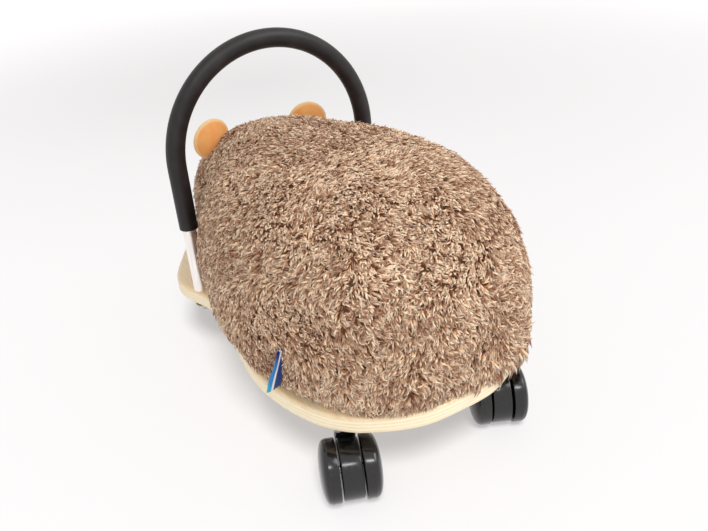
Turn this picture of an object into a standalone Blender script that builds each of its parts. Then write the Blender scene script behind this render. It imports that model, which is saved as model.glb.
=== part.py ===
"""Ride-on plush animal: a stuffed body on a shaped board, a bent tube handle and four swivel casters.

The frame is metres with +Z up. The origin is on the floor, under the middle of the whole object.
The animal faces -Y, so its left side is +X. Sizes "from the handle" are measured along Y from the
plane of the bent handle: shares of a reach are negative ahead of it and positive behind it.
"""

import math

import bmesh
import bpy
import numpy as np
from mathutils import Matrix, Vector

# Clearances
GAP = 0.0003                    # between pieces that touch
CUT_OVERRUN = 0.002             # how far a cutter runs past the face that it opens
MERGE_DISTANCE = 0.0001         # for welding caps and turned profiles

# Handle
HANDLE_RADIUS = 0.100           # centre line of the arch, and half the distance between the legs
HANDLE_LEG = 0.125              # straight leg above the board
TUBE_RADIUS = 0.0065
TUBE_WALL = 0.0015
GRIP_RADIUS = 0.0087
GRIP_START = 0.0665             # of the grip's ends above the board
INSERT_LENGTH = 0.025
BOLT_RADIUS = 0.003
BOLT_GRIP = 0.020               # length of the bolt inside the insert
BOLT_HEAD_RADIUS = 0.0056
BOLT_HEAD_HEIGHT = 0.004
WASHER_RADIUS = 0.0075
WASHER_THICKNESS = 0.0012
BOLT_CLEARANCE = 0.0004

# Board
BOARD_BESIDE_LEG = 0.017        # from a leg's centre to the widest point of the side
BOARD_BEHIND_LEG = 0.283        # from the handle to the rear edge
BOARD_AHEAD_LEG = 0.140         # from the handle to the front edge
BOARD_THICKNESS = 0.015
BOARD_EDGE_ROUND = 0.004
BOARD_SHARES = (                # right half, rear to front: share of half width, share of reach
    (0.00, 1.00), (0.40, 0.975), (0.81, 0.845), (0.985, 0.56), (0.85, 0.15),
    (0.966, -0.19), (0.79, -0.57), (0.50, -0.895), (0.00, -1.00),
)

# Stuffed body, outside its fabric
PLUSH_OVERHANG = 0.004          # of the widest ring past the board, at its side, rear and front
PLUSH_TO_LEG = 0.014            # from the head's side to the centre of a leg
PLUSH_WIDEST_HEIGHT = 0.038     # of the widest ring above the board
PLUSH_RISE = 0.122              # of the crown above the widest ring
PLUSH_DRAWN_IN = 0.004          # of the side at the board
PLUSH_SQUARENESS = 2.7          # 2 is an ellipse, more is fuller at the shoulder
PLUSH_CENTRE_SHARE = 0.35       # of the rear reach, where the rings close
RUMP_SHARES = (                 # right half behind the handle: share of half width, share of reach
    (0.00, 1.00), (0.56, 0.95), (0.81, 0.82), (0.98, 0.645), (1.00, 0.435), (0.92, 0.225),
)
HEAD_SHARES = (                 # right half from the handle: share of the head's half width, of reach
    (1.00, 0.00), (0.82, -0.35), (0.66, -0.67), (0.40, -0.90), (0.00, -1.00),
)
CROWN_SHARES = (1.00, 0.99, 0.97, 0.95, 0.90, 0.66)   # of the rise, evenly from rear to front
COVER_THICKNESS = 0.004
CORE_CLEARANCE = 0.0009

# Casters
WHEEL_RADIUS = 0.025
WHEEL_WIDTH = 0.0145
WHEEL_GAP = 0.0015              # between a wheel and the hood
HOOD_WIDTH = 0.016
HOOD_RADIUS = 0.0236
HOOD_EDGE_ROUND = 0.0012
NECK_RADIUS = 0.0085
CASTER_TRAIL = 0.022            # of the axle behind the kingpin
CASTER_HEIGHT = 0.060           # floor to the board's underside
PLATE_SIDE = 0.030
PLATE_THICKNESS = 0.002
PLATE_CORNER = 0.004
PLATE_HOLE_SPACING = 0.021
KINGPIN_RADIUS = 0.004
KINGPIN_DEPTH = 0.026           # below the plate's top
AXLE_RADIUS = 0.003
AXLE_SEAT = 0.010               # of the axle inside each wheel
BEARING_CLEARANCE = 0.0003
SCREW_RADIUS = 0.00175
SCREW_LENGTH = 0.012            # inside the board and the plate
SCREW_HEAD_RADIUS = 0.0035
SCREW_HEAD_HEIGHT = 0.0018
REAR_STEM_INSET_X = 0.042       # of the kingpins from the board's widest point
REAR_STEM_INSET_Y = 0.0535      # from its rear edge
FRONT_STEM_INSET_X = 0.065
FRONT_STEM_INSET_Y = 0.064      # from its front edge

# Face, ears and tab
EAR_RADIUS = 0.021
EAR_THICKNESS = 0.005
EAR_CUP = 0.005                 # depth of the hollow at the front of the ear
EAR_SPREAD_SHARE = 0.647        # of the head's half width
EAR_REACH_SHARE = 0.294         # of the head's reach ahead of the handle
EAR_RISE = 0.0165               # of the ear's middle above the stuffed body
EAR_TURN = math.radians(14)     # outward, about Z
EAR_LEAN = math.radians(12)     # back, from upright
MUZZLE_SIZE = (0.040, 0.044, 0.034)    # half width, half length, half height
MUZZLE_SUNK = 0.026             # of its middle behind the head's front
MUZZLE_HEIGHT = 0.040           # of its middle above the board
NOSE_SIZE = (0.0105, 0.0080, 0.0085)
NOSE_RISE = 0.010               # of the nose above the muzzle's middle
NOSE_SUNK = 0.004               # of the nose's middle inside the muzzle's tip
EYE_RADIUS = 0.0070
EYE_DEPTH = 0.0050
EYE_SPREAD_SHARE = 0.429        # of the head's half width
EYE_REACH_SHARE = 0.755         # of the head's reach ahead of the handle
TAB_LENGTH = 0.046
TAB_WIDTH = 0.0085              # that stands out of the fabric
TAB_ROOT = 0.006                # that is cut away at the fabric
TAB_THICKNESS = 0.0016
TAB_REACH_SHARE = 0.7115        # of the body's reach behind the handle
TAB_HEIGHT = 0.027              # of its middle above the board
TAB_TILT = math.radians(27)     # from upright, towards the rear

# Facets
BOARD_STEPS = 3                 # points for each point of the board's outline
PLUSH_STEPS = 2                 # points for each point of the body's outline
DOME_LIFTS = 7                  # rings from the widest one to the crown
TUBE_ARC_STEPS = 16
TUBE_SIDES = 12
WHEEL_STEPS = 20
ROUND_STEPS = 16
SMALL_STEPS = 8
BALL_SEGMENTS = 20
BALL_RINGS = 12

# Sizes and places that follow from those above. A place along Y is from the handle
BOARD_HALF_WIDTH = HANDLE_RADIUS + BOARD_BESIDE_LEG
PLUSH_HALF_WIDTH = BOARD_HALF_WIDTH + PLUSH_OVERHANG
PLUSH_REAR = BOARD_BEHIND_LEG + PLUSH_OVERHANG
PLUSH_FRONT = BOARD_AHEAD_LEG + PLUSH_OVERHANG
HEAD_HALF_WIDTH = HANDLE_RADIUS - PLUSH_TO_LEG
EAR_X = HEAD_HALF_WIDTH * EAR_SPREAD_SHARE
EAR_Y = -PLUSH_FRONT * EAR_REACH_SHARE
EYE_X = HEAD_HALF_WIDTH * EYE_SPREAD_SHARE
EYE_Y = -PLUSH_FRONT * EYE_REACH_SHARE
TAB_Y = PLUSH_REAR * TAB_REACH_SHARE
MUZZLE_Y = MUZZLE_SUNK - PLUSH_FRONT
NOSE_Y = MUZZLE_Y - MUZZLE_SIZE[1] + NOSE_SUNK
REAR_STEM_X = BOARD_HALF_WIDTH - REAR_STEM_INSET_X
REAR_STEM_Y = BOARD_BEHIND_LEG - REAR_STEM_INSET_Y
FRONT_STEM_X = BOARD_HALF_WIDTH - FRONT_STEM_INSET_X
FRONT_STEM_Y = FRONT_STEM_INSET_Y - BOARD_AHEAD_LEG
HANDLE_Y = (NOSE_SIZE[1] - NOSE_Y - PLUSH_REAR) / 2     # in the object's frame
BOARD_BOTTOM = CASTER_HEIGHT
BOARD_TOP = BOARD_BOTTOM + BOARD_THICKNESS
DOME_CENTRE = PLUSH_REAR * PLUSH_CENTRE_SHARE
WHEEL_FLAT = math.pi / WHEEL_STEPS          # turns a facet of the tread to the floor
AXLE_HEIGHT = WHEEL_RADIUS * math.cos(WHEEL_FLAT)
WHEEL_INNER = HOOD_WIDTH / 2 + WHEEL_GAP
PLATE_TOP = BOARD_BOTTOM - GAP
PLATE_BOTTOM = PLATE_TOP - PLATE_THICKNESS

LEFT = 1
RIGHT = -1
SIDES = (("left", LEFT), ("right", RIGHT))

# Name, side, distance from the middle, distance from the handle, heading of the trailing wheels
CASTERS = (
    ("rear_left", LEFT, REAR_STEM_X, REAR_STEM_Y, math.radians(23)),
    ("rear_right", RIGHT, REAR_STEM_X, REAR_STEM_Y, math.radians(28)),
    ("front_left", LEFT, FRONT_STEM_X, FRONT_STEM_Y, math.radians(-6)),
    ("front_right", RIGHT, FRONT_STEM_X, FRONT_STEM_Y, math.radians(-10)),
)

# Colour, roughness and metallic value of each material
FINISHES = {
    "birch": ((0.86, 0.68, 0.42), 0.45, 0.0),
    "brown_plush": ((0.30, 0.18, 0.11), 0.95, 0.0),
    "foam": ((0.80, 0.74, 0.55), 0.90, 0.0),
    "orange_velour": ((0.85, 0.42, 0.14), 0.90, 0.0),
    "cream_velour": ((0.78, 0.62, 0.42), 0.90, 0.0),
    "black_grip": ((0.03, 0.028, 0.03), 0.55, 0.0),
    "silver_tube": ((0.72, 0.72, 0.73), 0.25, 1.0),
    "zinc_steel": ((0.60, 0.60, 0.58), 0.35, 1.0),
    "black_plastic": ((0.02, 0.02, 0.022), 0.18, 0.0),
    "gloss_black": ((0.01, 0.01, 0.01), 0.08, 0.0),
    "blue_ribbon": ((0.05, 0.22, 0.50), 0.60, 0.0),
}


def clear_scene():
    """Remove every object that the scene holds."""
    for old in list(bpy.data.objects):
        bpy.data.objects.remove(old, do_unlink=True)


def make_collection(name):
    """Return a new collection linked to the scene."""
    collection = bpy.data.collections.new(name)
    bpy.context.scene.collection.children.link(collection)
    return collection


def make_material(name):
    """Return the Principled material of this name from the table of finishes."""
    colour, roughness, metallic = FINISHES[name]
    material = bpy.data.materials.get(name) or bpy.data.materials.new(name)
    material.use_nodes = True
    shader = material.node_tree.nodes["Principled BSDF"]
    shader.inputs["Base Color"].default_value = (*colour, 1.0)
    shader.inputs["Roughness"].default_value = roughness
    shader.inputs["Metallic"].default_value = metallic
    material.diffuse_color = (*colour, 1.0)
    return material


def add_object(name, data, collection, material=None):
    """Link an object for this data, with a material of its own if one is named."""
    item = bpy.data.objects.new(name, data)
    collection.objects.link(item)
    if material:
        data.materials.append(make_material(material))
    return item


def add_empty(name, place, turn, parent=None):
    """Add an empty on a joint's axis: pieces that move are parented to it."""
    item = bpy.data.objects.new(name, None)
    PARTS.objects.link(item)
    item.location = place
    item.rotation_euler = turn
    item.parent = parent
    return item


def make_cutter(item):
    """Keep a cutter out of the render and show it as wire."""
    item.hide_render = True
    item.display_type = "WIRE"
    return item


def mesh_from(work, name, smooth_angle=40):
    """Turn a bmesh into a mesh with smooth round sides and sharp edges."""
    bmesh.ops.recalc_face_normals(work, faces=work.faces)
    mesh = bpy.data.meshes.new(name)
    work.to_mesh(mesh)
    work.free()
    mesh.shade_smooth()
    mesh.set_sharp_from_angle(angle=math.radians(smooth_angle))
    return mesh


def cut(item, cutter, operation="DIFFERENCE"):
    """Cut an object by a cutter, or join it with one, by an exact Boolean."""
    boolean = item.modifiers.new(f"{operation.lower()}_{cutter.name}", "BOOLEAN")
    boolean.operation = operation
    boolean.solver = "EXACT"
    boolean.object = cutter
    return item


def turned(name, profile, steps, collection, material=None):
    """Turn a profile of (radius, height) about Z, listed down its outer side."""
    mesh = bpy.data.meshes.new(name)
    points = [(radius, 0, height) for radius, height in profile]
    mesh.from_pydata(points, [(i, i + 1) for i in range(len(points) - 1)], [])
    item = add_object(name, mesh, collection, material)
    screw = item.modifiers.new("turn", "SCREW")
    screw.steps = steps
    screw.render_steps = steps
    screw.use_merge_vertices = True
    screw.merge_threshold = MERGE_DISTANCE
    screw.use_smooth_shade = True
    return item


def hole_radius(pin_radius, clearance, steps):
    """Return the radius of a hole with this many sides, whose flats clear a round pin."""
    return (pin_radius + clearance) / math.cos(math.pi / steps)


def cylinders(name, rods, steps, collection, material=None):
    """Make one mesh of upright cylinders, each given as (x, y, radius, low, high)."""
    work = bmesh.new()
    for x, y, radius, low, high in rods:
        place = Matrix.Translation((x, y, (low + high) / 2))
        bmesh.ops.create_cone(work, cap_ends=True, segments=steps, radius1=radius, radius2=radius,
                              depth=high - low, matrix=place)
    return add_object(name, mesh_from(work, name), collection, material)


def ball(name, size, collection, material=None, segments=BALL_SEGMENTS, rings=BALL_RINGS):
    """Make an ellipsoid of these half sizes."""
    work = bmesh.new()
    bmesh.ops.create_uvsphere(work, u_segments=segments, v_segments=rings, radius=1,
                              matrix=Matrix.Diagonal((*size, 1)))
    return add_object(name, mesh_from(work, name), collection, material)


def smooth_loop(points, steps):
    """Return a closed Catmull-Rom curve through the points, with a number of steps for each."""
    points = np.asarray(points, dtype=float)
    shares = (np.arange(steps) / steps)[:, None]
    loop = []
    for i in range(len(points)):
        before, here, after, beyond = (points[(i + k) % len(points)] for k in (-1, 0, 1, 2))
        loop.append(0.5 * (2 * here + (after - before) * shares
                           + (2 * before - 5 * here + 4 * after - beyond) * shares ** 2
                           + (3 * here - before - 3 * after + beyond) * shares ** 3))
    return np.concatenate(loop)


def mirrored_outline(right, steps):
    """Return a whole outline as points from the handle, from the points of its right half."""
    left = [(-x, y) for x, y in reversed(right[1:-1])]
    return smooth_loop(right + left, steps)


def board_outline():
    """Return the board's outline as points from the handle."""
    right = [(x * BOARD_HALF_WIDTH, y * (BOARD_BEHIND_LEG if y > 0 else BOARD_AHEAD_LEG))
             for x, y in BOARD_SHARES]
    return mirrored_outline(right, BOARD_STEPS)


def outward(outline):
    """Return the outward normals of a closed outline that runs rear, right side, front."""
    along = np.roll(outline, -1, axis=0) - np.roll(outline, 1, axis=0)
    across = np.stack([-along[:, 1], along[:, 0]], axis=1)
    return across / np.linalg.norm(across, axis=1, keepdims=True)


def plush_outline(grow=0.0):
    """Return the widest ring of the stuffed body, grown by a distance."""
    right = [(x * PLUSH_HALF_WIDTH, y * PLUSH_REAR) for x, y in RUMP_SHARES]
    right += [(x * HEAD_HALF_WIDTH, y * PLUSH_FRONT) for x, y in HEAD_SHARES]
    outline = mirrored_outline(right, PLUSH_STEPS)
    return outline + outward(outline) * grow


def crown_rise(y, grow=0.0):
    """Return the crown's rise above the widest ring at distances from the handle."""
    stations = np.linspace(PLUSH_REAR, -PLUSH_FRONT, len(CROWN_SHARES))
    shares = np.interp(-np.asarray(y), -stations, CROWN_SHARES)
    return PLUSH_RISE * shares + grow


def dome_rings(grow=0.0, low=0.0):
    """Return the rings of the stuffed body's surface, from the board to below the crown."""
    outline = plush_outline(grow)
    normals = outward(outline)
    widest = BOARD_TOP + PLUSH_WIDEST_HEIGHT
    rings = []
    for share in (1.0, 0.5):
        height = widest + (BOARD_TOP + low - widest) * share
        drawn = outline - normals * PLUSH_DRAWN_IN * share ** 2
        rings.append(np.column_stack([drawn, np.full(len(drawn), height)]))
    for step in range(DOME_LIFTS):
        angle = math.pi / 2 * step / DOME_LIFTS
        inward = math.cos(angle) ** (2 / PLUSH_SQUARENESS)
        upward = math.sin(angle) ** (2 / PLUSH_SQUARENESS)
        ring = (outline - (0, DOME_CENTRE)) * inward + (0, DOME_CENTRE)
        height = widest + crown_rise(ring[:, 1], grow) * upward
        rings.append(np.column_stack([ring, height]))
    return rings


def dome_mesh(name, grow=0.0, low=0.0, closed=True):
    """Loft the rings of the stuffed body into a mesh, with or without a floor."""
    work = bmesh.new()
    rows = []
    for ring in dome_rings(grow, low):
        rows.append([work.verts.new((x, y + HANDLE_Y, z)) for x, y, z in ring])
    for below, above in zip(rows, rows[1:]):
        for i in range(len(below)):
            j = (i + 1) % len(below)
            work.faces.new((below[i], above[i], above[j], below[j]))
    crown = BOARD_TOP + PLUSH_WIDEST_HEIGHT + float(crown_rise(DOME_CENTRE, grow))
    top = work.verts.new((0, DOME_CENTRE + HANDLE_Y, crown))
    for i in range(len(rows[-1])):
        work.faces.new((rows[-1][i], top, rows[-1][(i + 1) % len(rows[-1])]))
    if closed:
        work.faces.new(rows[0])
    return mesh_from(work, name)


def side_of_body(y):
    """Return the point and the outward normal of the widest ring's left side, level with y."""
    outline = plush_outline()
    normals = outward(outline)
    left = outline[:, 0] > 0
    order = np.argsort(outline[left, 1])
    levels = outline[left, 1][order]
    values = np.column_stack([outline[left, 0], normals[left]])[order]
    x, normal_x, normal_y = (np.interp(y, levels, column) for column in values.T)
    normal = np.array((normal_x, normal_y))
    return np.array((x, y)), normal / np.linalg.norm(normal)


def surface_height(x, y):
    """Return the height of the stuffed body's surface above a point at (x, y from the handle)."""
    outline = plush_outline()
    reach = math.hypot(x, y - DOME_CENTRE)
    bearing = math.atan2(x, y - DOME_CENTRE)
    bearings = np.arctan2(outline[:, 0], outline[:, 1] - DOME_CENTRE)
    order = np.argsort(bearings)
    reaches = np.linalg.norm(outline - (0, DOME_CENTRE), axis=1)[order]
    limit = np.interp(bearing, bearings[order], reaches, period=2 * math.pi)
    share = min(reach / limit, 1.0)
    upward = (1 - share ** PLUSH_SQUARENESS) ** (1 / PLUSH_SQUARENESS)
    return BOARD_TOP + PLUSH_WIDEST_HEIGHT + float(crown_rise(y)) * upward


def surface_normal(x, y):
    """Return the outward normal of the stuffed body's surface above a point."""
    step = COVER_THICKNESS
    slope_x = (surface_height(x + step, y) - surface_height(x - step, y)) / (2 * step)
    slope_y = (surface_height(x, y + step) - surface_height(x, y - step)) / (2 * step)
    return Vector((-slope_x, -slope_y, 1)).normalized()


def build_board():
    """Make the board: its outline as a flat curve, with holes for the bolts and the screws."""
    curve = bpy.data.curves.new("base_board_outline", "CURVE")
    curve.dimensions = "2D"
    curve.fill_mode = "BOTH"
    curve.bevel_depth = BOARD_EDGE_ROUND
    curve.bevel_resolution = 1
    curve.offset = -BOARD_EDGE_ROUND
    curve.extrude = BOARD_THICKNESS / 2 - BOARD_EDGE_ROUND
    outline = board_outline()
    spline = curve.splines.new("POLY")
    spline.points.add(len(outline) - 1)
    for point, (x, y) in zip(spline.points, outline):
        point.co = (x, y, 0, 1)
    spline.use_cyclic_u = True
    flat = add_object("base_board_curve", curve, CUTTERS)
    flat.location = (0, HANDLE_Y, (BOARD_BOTTOM + BOARD_TOP) / 2)
    board = mesh_of_curve(flat, "base_board", "birch")

    bolt_hole = hole_radius(BOLT_RADIUS, BOLT_CLEARANCE, SMALL_STEPS)
    pilot_hole = hole_radius(SCREW_RADIUS, GAP, SMALL_STEPS)
    through = (BOARD_BOTTOM - CUT_OVERRUN, BOARD_TOP + CUT_OVERRUN)
    holes = [(side * HANDLE_RADIUS, HANDLE_Y, bolt_hole, *through) for _, side in SIDES]
    pilot_top = PLATE_BOTTOM + SCREW_LENGTH + GAP
    for x, y in screw_places():
        holes.append((x, y, pilot_hole, BOARD_BOTTOM - CUT_OVERRUN, pilot_top))
    cutter = cylinders("board_holes", holes, SMALL_STEPS, CUTTERS)
    cut(board, make_cutter(cutter))


def mesh_of_curve(item, name, material, collection=None):
    """Replace a curve object by a welded mesh object in the same place."""
    bpy.context.view_layer.update()
    evaluated = item.evaluated_get(bpy.context.evaluated_depsgraph_get())
    mesh = bpy.data.meshes.new_from_object(evaluated)
    mesh.materials.clear()
    work = bmesh.new()
    work.from_mesh(mesh)
    bmesh.ops.remove_doubles(work, verts=work.verts, dist=MERGE_DISTANCE)
    bpy.data.meshes.remove(mesh)
    solid = add_object(name, mesh_from(work, name), collection or PARTS, material)
    solid.matrix_world = item.matrix_world
    bpy.data.objects.remove(item, do_unlink=True)
    return solid


def handle_path(start):
    """Return the handle's centre line from one leg to the other, from a height on the legs."""
    path = [(HANDLE_RADIUS, 0, start)]
    for step in range(TUBE_ARC_STEPS + 1):
        angle = math.pi * step / TUBE_ARC_STEPS
        rise = HANDLE_LEG + HANDLE_RADIUS * math.sin(angle)
        path.append((HANDLE_RADIUS * math.cos(angle), 0, rise))
    path.append((-HANDLE_RADIUS, 0, start))
    return path


def bent_rod(name, start, radius, material, collection):
    """Make a solid rod along the handle's centre line."""
    curve = bpy.data.curves.new(name, "CURVE")
    curve.dimensions = "3D"
    curve.bevel_depth = radius
    curve.bevel_resolution = TUBE_SIDES // 2 - 2
    curve.use_fill_caps = True
    path = handle_path(start)
    spline = curve.splines.new("POLY")
    spline.points.add(len(path) - 1)
    for point, place in zip(spline.points, path):
        point.co = (*place, 1)
    rod = add_object(f"{name}_curve", curve, collection)
    rod.location = (0, HANDLE_Y, BOARD_TOP)
    return mesh_of_curve(rod, name, material, collection)


def build_handle():
    """Make the bent tube, its grip, and at each foot an insert, a bolt and a washer."""
    tube = bent_rod("handle_tube", GAP, TUBE_RADIUS, "silver_tube", PARTS)
    bore = bent_rod("tube_bore", -CUT_OVERRUN, TUBE_RADIUS - TUBE_WALL, None, CUTTERS)
    cut(tube, make_cutter(bore))
    grip = bent_rod("handle_grip", GRIP_START, GRIP_RADIUS, "black_grip", PARTS)
    sleeve = bent_rod("grip_bore", GRIP_START - CUT_OVERRUN, TUBE_RADIUS + GAP, None, CUTTERS)
    cut(grip, make_cutter(sleeve))

    insert_radius = (TUBE_RADIUS - TUBE_WALL) * math.cos(math.pi / TUBE_SIDES) - GAP
    hole = hole_radius(BOLT_RADIUS, BOLT_CLEARANCE, ROUND_STEPS)
    washer_top = BOARD_BOTTOM - GAP
    washer_bottom = washer_top - WASHER_THICKNESS
    head_top = washer_bottom - GAP
    for label, side in SIDES:
        place = (side * HANDLE_RADIUS, HANDLE_Y, 0)
        low = BOARD_TOP + GAP
        high = low + INSERT_LENGTH
        ring = ((hole, high), (insert_radius, high), (insert_radius, low), (hole, low), (hole, high))
        insert = turned(f"handle_insert_{label}", ring, ROUND_STEPS, PARTS, "zinc_steel")
        insert.location = place
        ring = ((hole, washer_top), (WASHER_RADIUS, washer_top), (WASHER_RADIUS, washer_bottom),
                (hole, washer_bottom), (hole, washer_top))
        washer = turned(f"handle_washer_{label}", ring, ROUND_STEPS, PARTS, "zinc_steel")
        washer.location = place
        shank = (*place[:2], BOLT_RADIUS, head_top - BOLT_HEAD_HEIGHT / 2, BOARD_TOP + BOLT_GRIP)
        bolt = cylinders(f"handle_bolt_{label}", [shank], SMALL_STEPS, PARTS, "zinc_steel")
        head = (*place[:2], BOLT_HEAD_RADIUS, head_top - BOLT_HEAD_HEIGHT, head_top)
        hexagon = cylinders(f"bolt_head_{label}", [head], 6, CUTTERS)
        cut(bolt, make_cutter(hexagon), "UNION")


def build_body():
    """Make the foam core and the plush cover over it."""
    inset = COVER_THICKNESS + CORE_CLEARANCE
    add_object("foam_core", dome_mesh("foam_core", -inset, GAP), PARTS, "foam")
    shell = dome_mesh("plush_cover", 0.0, GAP, closed=False)
    cover = add_object("plush_cover", shell, PARTS, "brown_plush")
    solid = cover.modifiers.new("fabric", "SOLIDIFY")
    solid.thickness = COVER_THICKNESS
    solid.offset = -1
    solid.use_even_offset = True


def dome_cutter():
    """Return the cutter for pieces that are sewn onto the stuffed body."""
    mesh = dome_mesh("dome_cutter", GAP, -CUT_OVERRUN)
    return make_cutter(add_object("dome_cutter", mesh, CUTTERS))


def build_ears(body):
    """Make the two cupped ears that stand on the head."""
    profile_shares = (0.0, 0.45, 0.80, 0.96)
    front = [(EAR_RADIUS * share, -EAR_CUP * (1 - share ** 2)) for share in profile_shares]
    back = [(radius, height - EAR_THICKNESS) for radius, height in reversed(front)]
    profile = front + [(EAR_RADIUS, -EAR_THICKNESS / 2)] + back
    for label, side in SIDES:
        ear = turned(f"ear_{label}", profile, WHEEL_STEPS, PARTS, "orange_velour")
        x = side * EAR_X
        height = surface_height(x, EAR_Y) + EAR_RISE
        ear.location = (x, HANDLE_Y + EAR_Y, height)
        ear.rotation_euler = (math.pi / 2 - EAR_LEAN, 0, side * EAR_TURN)
        cut(ear, body)


def build_face(body):
    """Make the muzzle, the nose on its tip and the two eyes."""
    muzzle_place = Vector((0, HANDLE_Y + MUZZLE_Y, BOARD_TOP + MUZZLE_HEIGHT))
    muzzle = ball("muzzle", MUZZLE_SIZE, PARTS, "cream_velour")
    muzzle.location = muzzle_place
    cut(muzzle, body)
    nose = ball("nose", NOSE_SIZE, PARTS, "gloss_black")
    nose.location = muzzle_place + Vector((0, NOSE_Y - MUZZLE_Y, NOSE_RISE))
    grown = [size + GAP for size in MUZZLE_SIZE]
    seat = make_cutter(ball("nose_seat", grown, CUTTERS))
    seat.location = muzzle_place
    cut(nose, seat)
    for label, side in SIDES:
        eye = ball(f"eye_{label}", (EYE_RADIUS, EYE_RADIUS, EYE_DEPTH), PARTS, "gloss_black",
                   ROUND_STEPS, SMALL_STEPS)
        x = side * EYE_X
        eye.location = (x, HANDLE_Y + EYE_Y, surface_height(x, EYE_Y))
        eye.rotation_euler = surface_normal(x, EYE_Y).to_track_quat("Z", "Y").to_euler()
        cut(eye, body)


def build_tab(body):
    """Make the folded ribbon tab that stands out of the left side near the board."""
    work = bmesh.new()
    depth = TAB_WIDTH + TAB_ROOT
    bmesh.ops.create_cube(work, size=1, matrix=Matrix.Diagonal((depth, TAB_THICKNESS, TAB_LENGTH, 1)))
    tab = add_object("label_tab", mesh_from(work, "label_tab"), PARTS, "blue_ribbon")
    side, normal = side_of_body(TAB_Y)
    share = 1 - TAB_HEIGHT / PLUSH_WIDEST_HEIGHT
    side = side - normal * PLUSH_DRAWN_IN * share ** 2
    middle = side + normal * (TAB_WIDTH - TAB_ROOT) / 2
    bearing = math.atan2(normal[1], normal[0])
    tab.location = (middle[0], middle[1] + HANDLE_Y, BOARD_TOP + TAB_HEIGHT)
    tab.rotation_mode = "ZYX"
    tab.rotation_euler = (-TAB_TILT, 0, bearing)
    cut(tab, body)


def screw_places():
    """Return where the screws of all caster plates stand."""
    half = PLATE_HOLE_SPACING / 2
    places = []
    for _, side, x, y, _ in CASTERS:
        for corner_x in (half, -half):
            for corner_y in (half, -half):
                places.append((side * x + corner_x, HANDLE_Y + y + corner_y))
    return places


def build_plate(name, x, y):
    """Make a caster's square plate with its four screws."""
    work = bmesh.new()
    place = Matrix.Translation((x, y, (PLATE_TOP + PLATE_BOTTOM) / 2))
    size = Matrix.Diagonal((PLATE_SIDE, PLATE_SIDE, PLATE_THICKNESS, 1))
    bmesh.ops.create_cube(work, size=1, matrix=place @ size)
    corners = [edge for edge in work.edges if abs(edge.verts[0].co.z - edge.verts[1].co.z) > GAP]
    bmesh.ops.bevel(work, geom=corners, offset=PLATE_CORNER, segments=3, profile=0.5,
                    affect="EDGES")
    plate = add_object(f"{name}_plate", mesh_from(work, name), PARTS, "zinc_steel")
    through = (PLATE_BOTTOM - CUT_OVERRUN, PLATE_TOP + CUT_OVERRUN)
    holes = [(x, y, hole_radius(KINGPIN_RADIUS, GAP, SMALL_STEPS), *through)]
    screw_hole = hole_radius(SCREW_RADIUS, GAP, SMALL_STEPS)
    half = PLATE_HOLE_SPACING / 2
    number = 1
    for corner_x in (half, -half):
        for corner_y in (half, -half):
            spot = (x + corner_x, y + corner_y)
            holes.append((*spot, screw_hole, *through))
            build_screw(f"{name}_screw_{number}", spot)
            number += 1
    cutter = cylinders(f"{name}_plate_holes", holes, SMALL_STEPS, CUTTERS)
    cut(plate, make_cutter(cutter))


def build_screw(name, spot):
    """Make a pan-head screw that holds a plate to the board."""
    head_top = PLATE_BOTTOM - GAP
    head_bottom = head_top - SCREW_HEAD_HEIGHT
    tip = PLATE_BOTTOM + SCREW_LENGTH
    shoulder = tip - SCREW_RADIUS
    profile = ((0, tip), (SCREW_RADIUS, shoulder), (SCREW_RADIUS, head_top),
               (SCREW_HEAD_RADIUS, head_top), (SCREW_HEAD_RADIUS, head_bottom + SCREW_RADIUS / 2),
               (SCREW_HEAD_RADIUS / 2, head_bottom), (0, head_bottom))
    screw = turned(name, profile, SMALL_STEPS, PARTS, "zinc_steel")
    screw.location = (*spot, 0)


def build_kingpin(name, x, y):
    """Make the pin that joins the plate to the hood, with a groove for its retainer."""
    bottom = PLATE_TOP - KINGPIN_DEPTH
    groove_low = bottom + KINGPIN_RADIUS / 2
    groove_high = groove_low + KINGPIN_RADIUS / 2
    groove_radius = KINGPIN_RADIUS * 3 / 4
    profile = ((0, PLATE_TOP), (KINGPIN_RADIUS, PLATE_TOP), (KINGPIN_RADIUS, groove_high),
               (groove_radius, groove_high), (groove_radius, groove_low),
               (KINGPIN_RADIUS, groove_low), (KINGPIN_RADIUS, bottom), (0, bottom))
    pin = turned(f"{name}_kingpin", profile, ROUND_STEPS, PARTS, "zinc_steel")
    pin.location = (x, y, 0)


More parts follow.
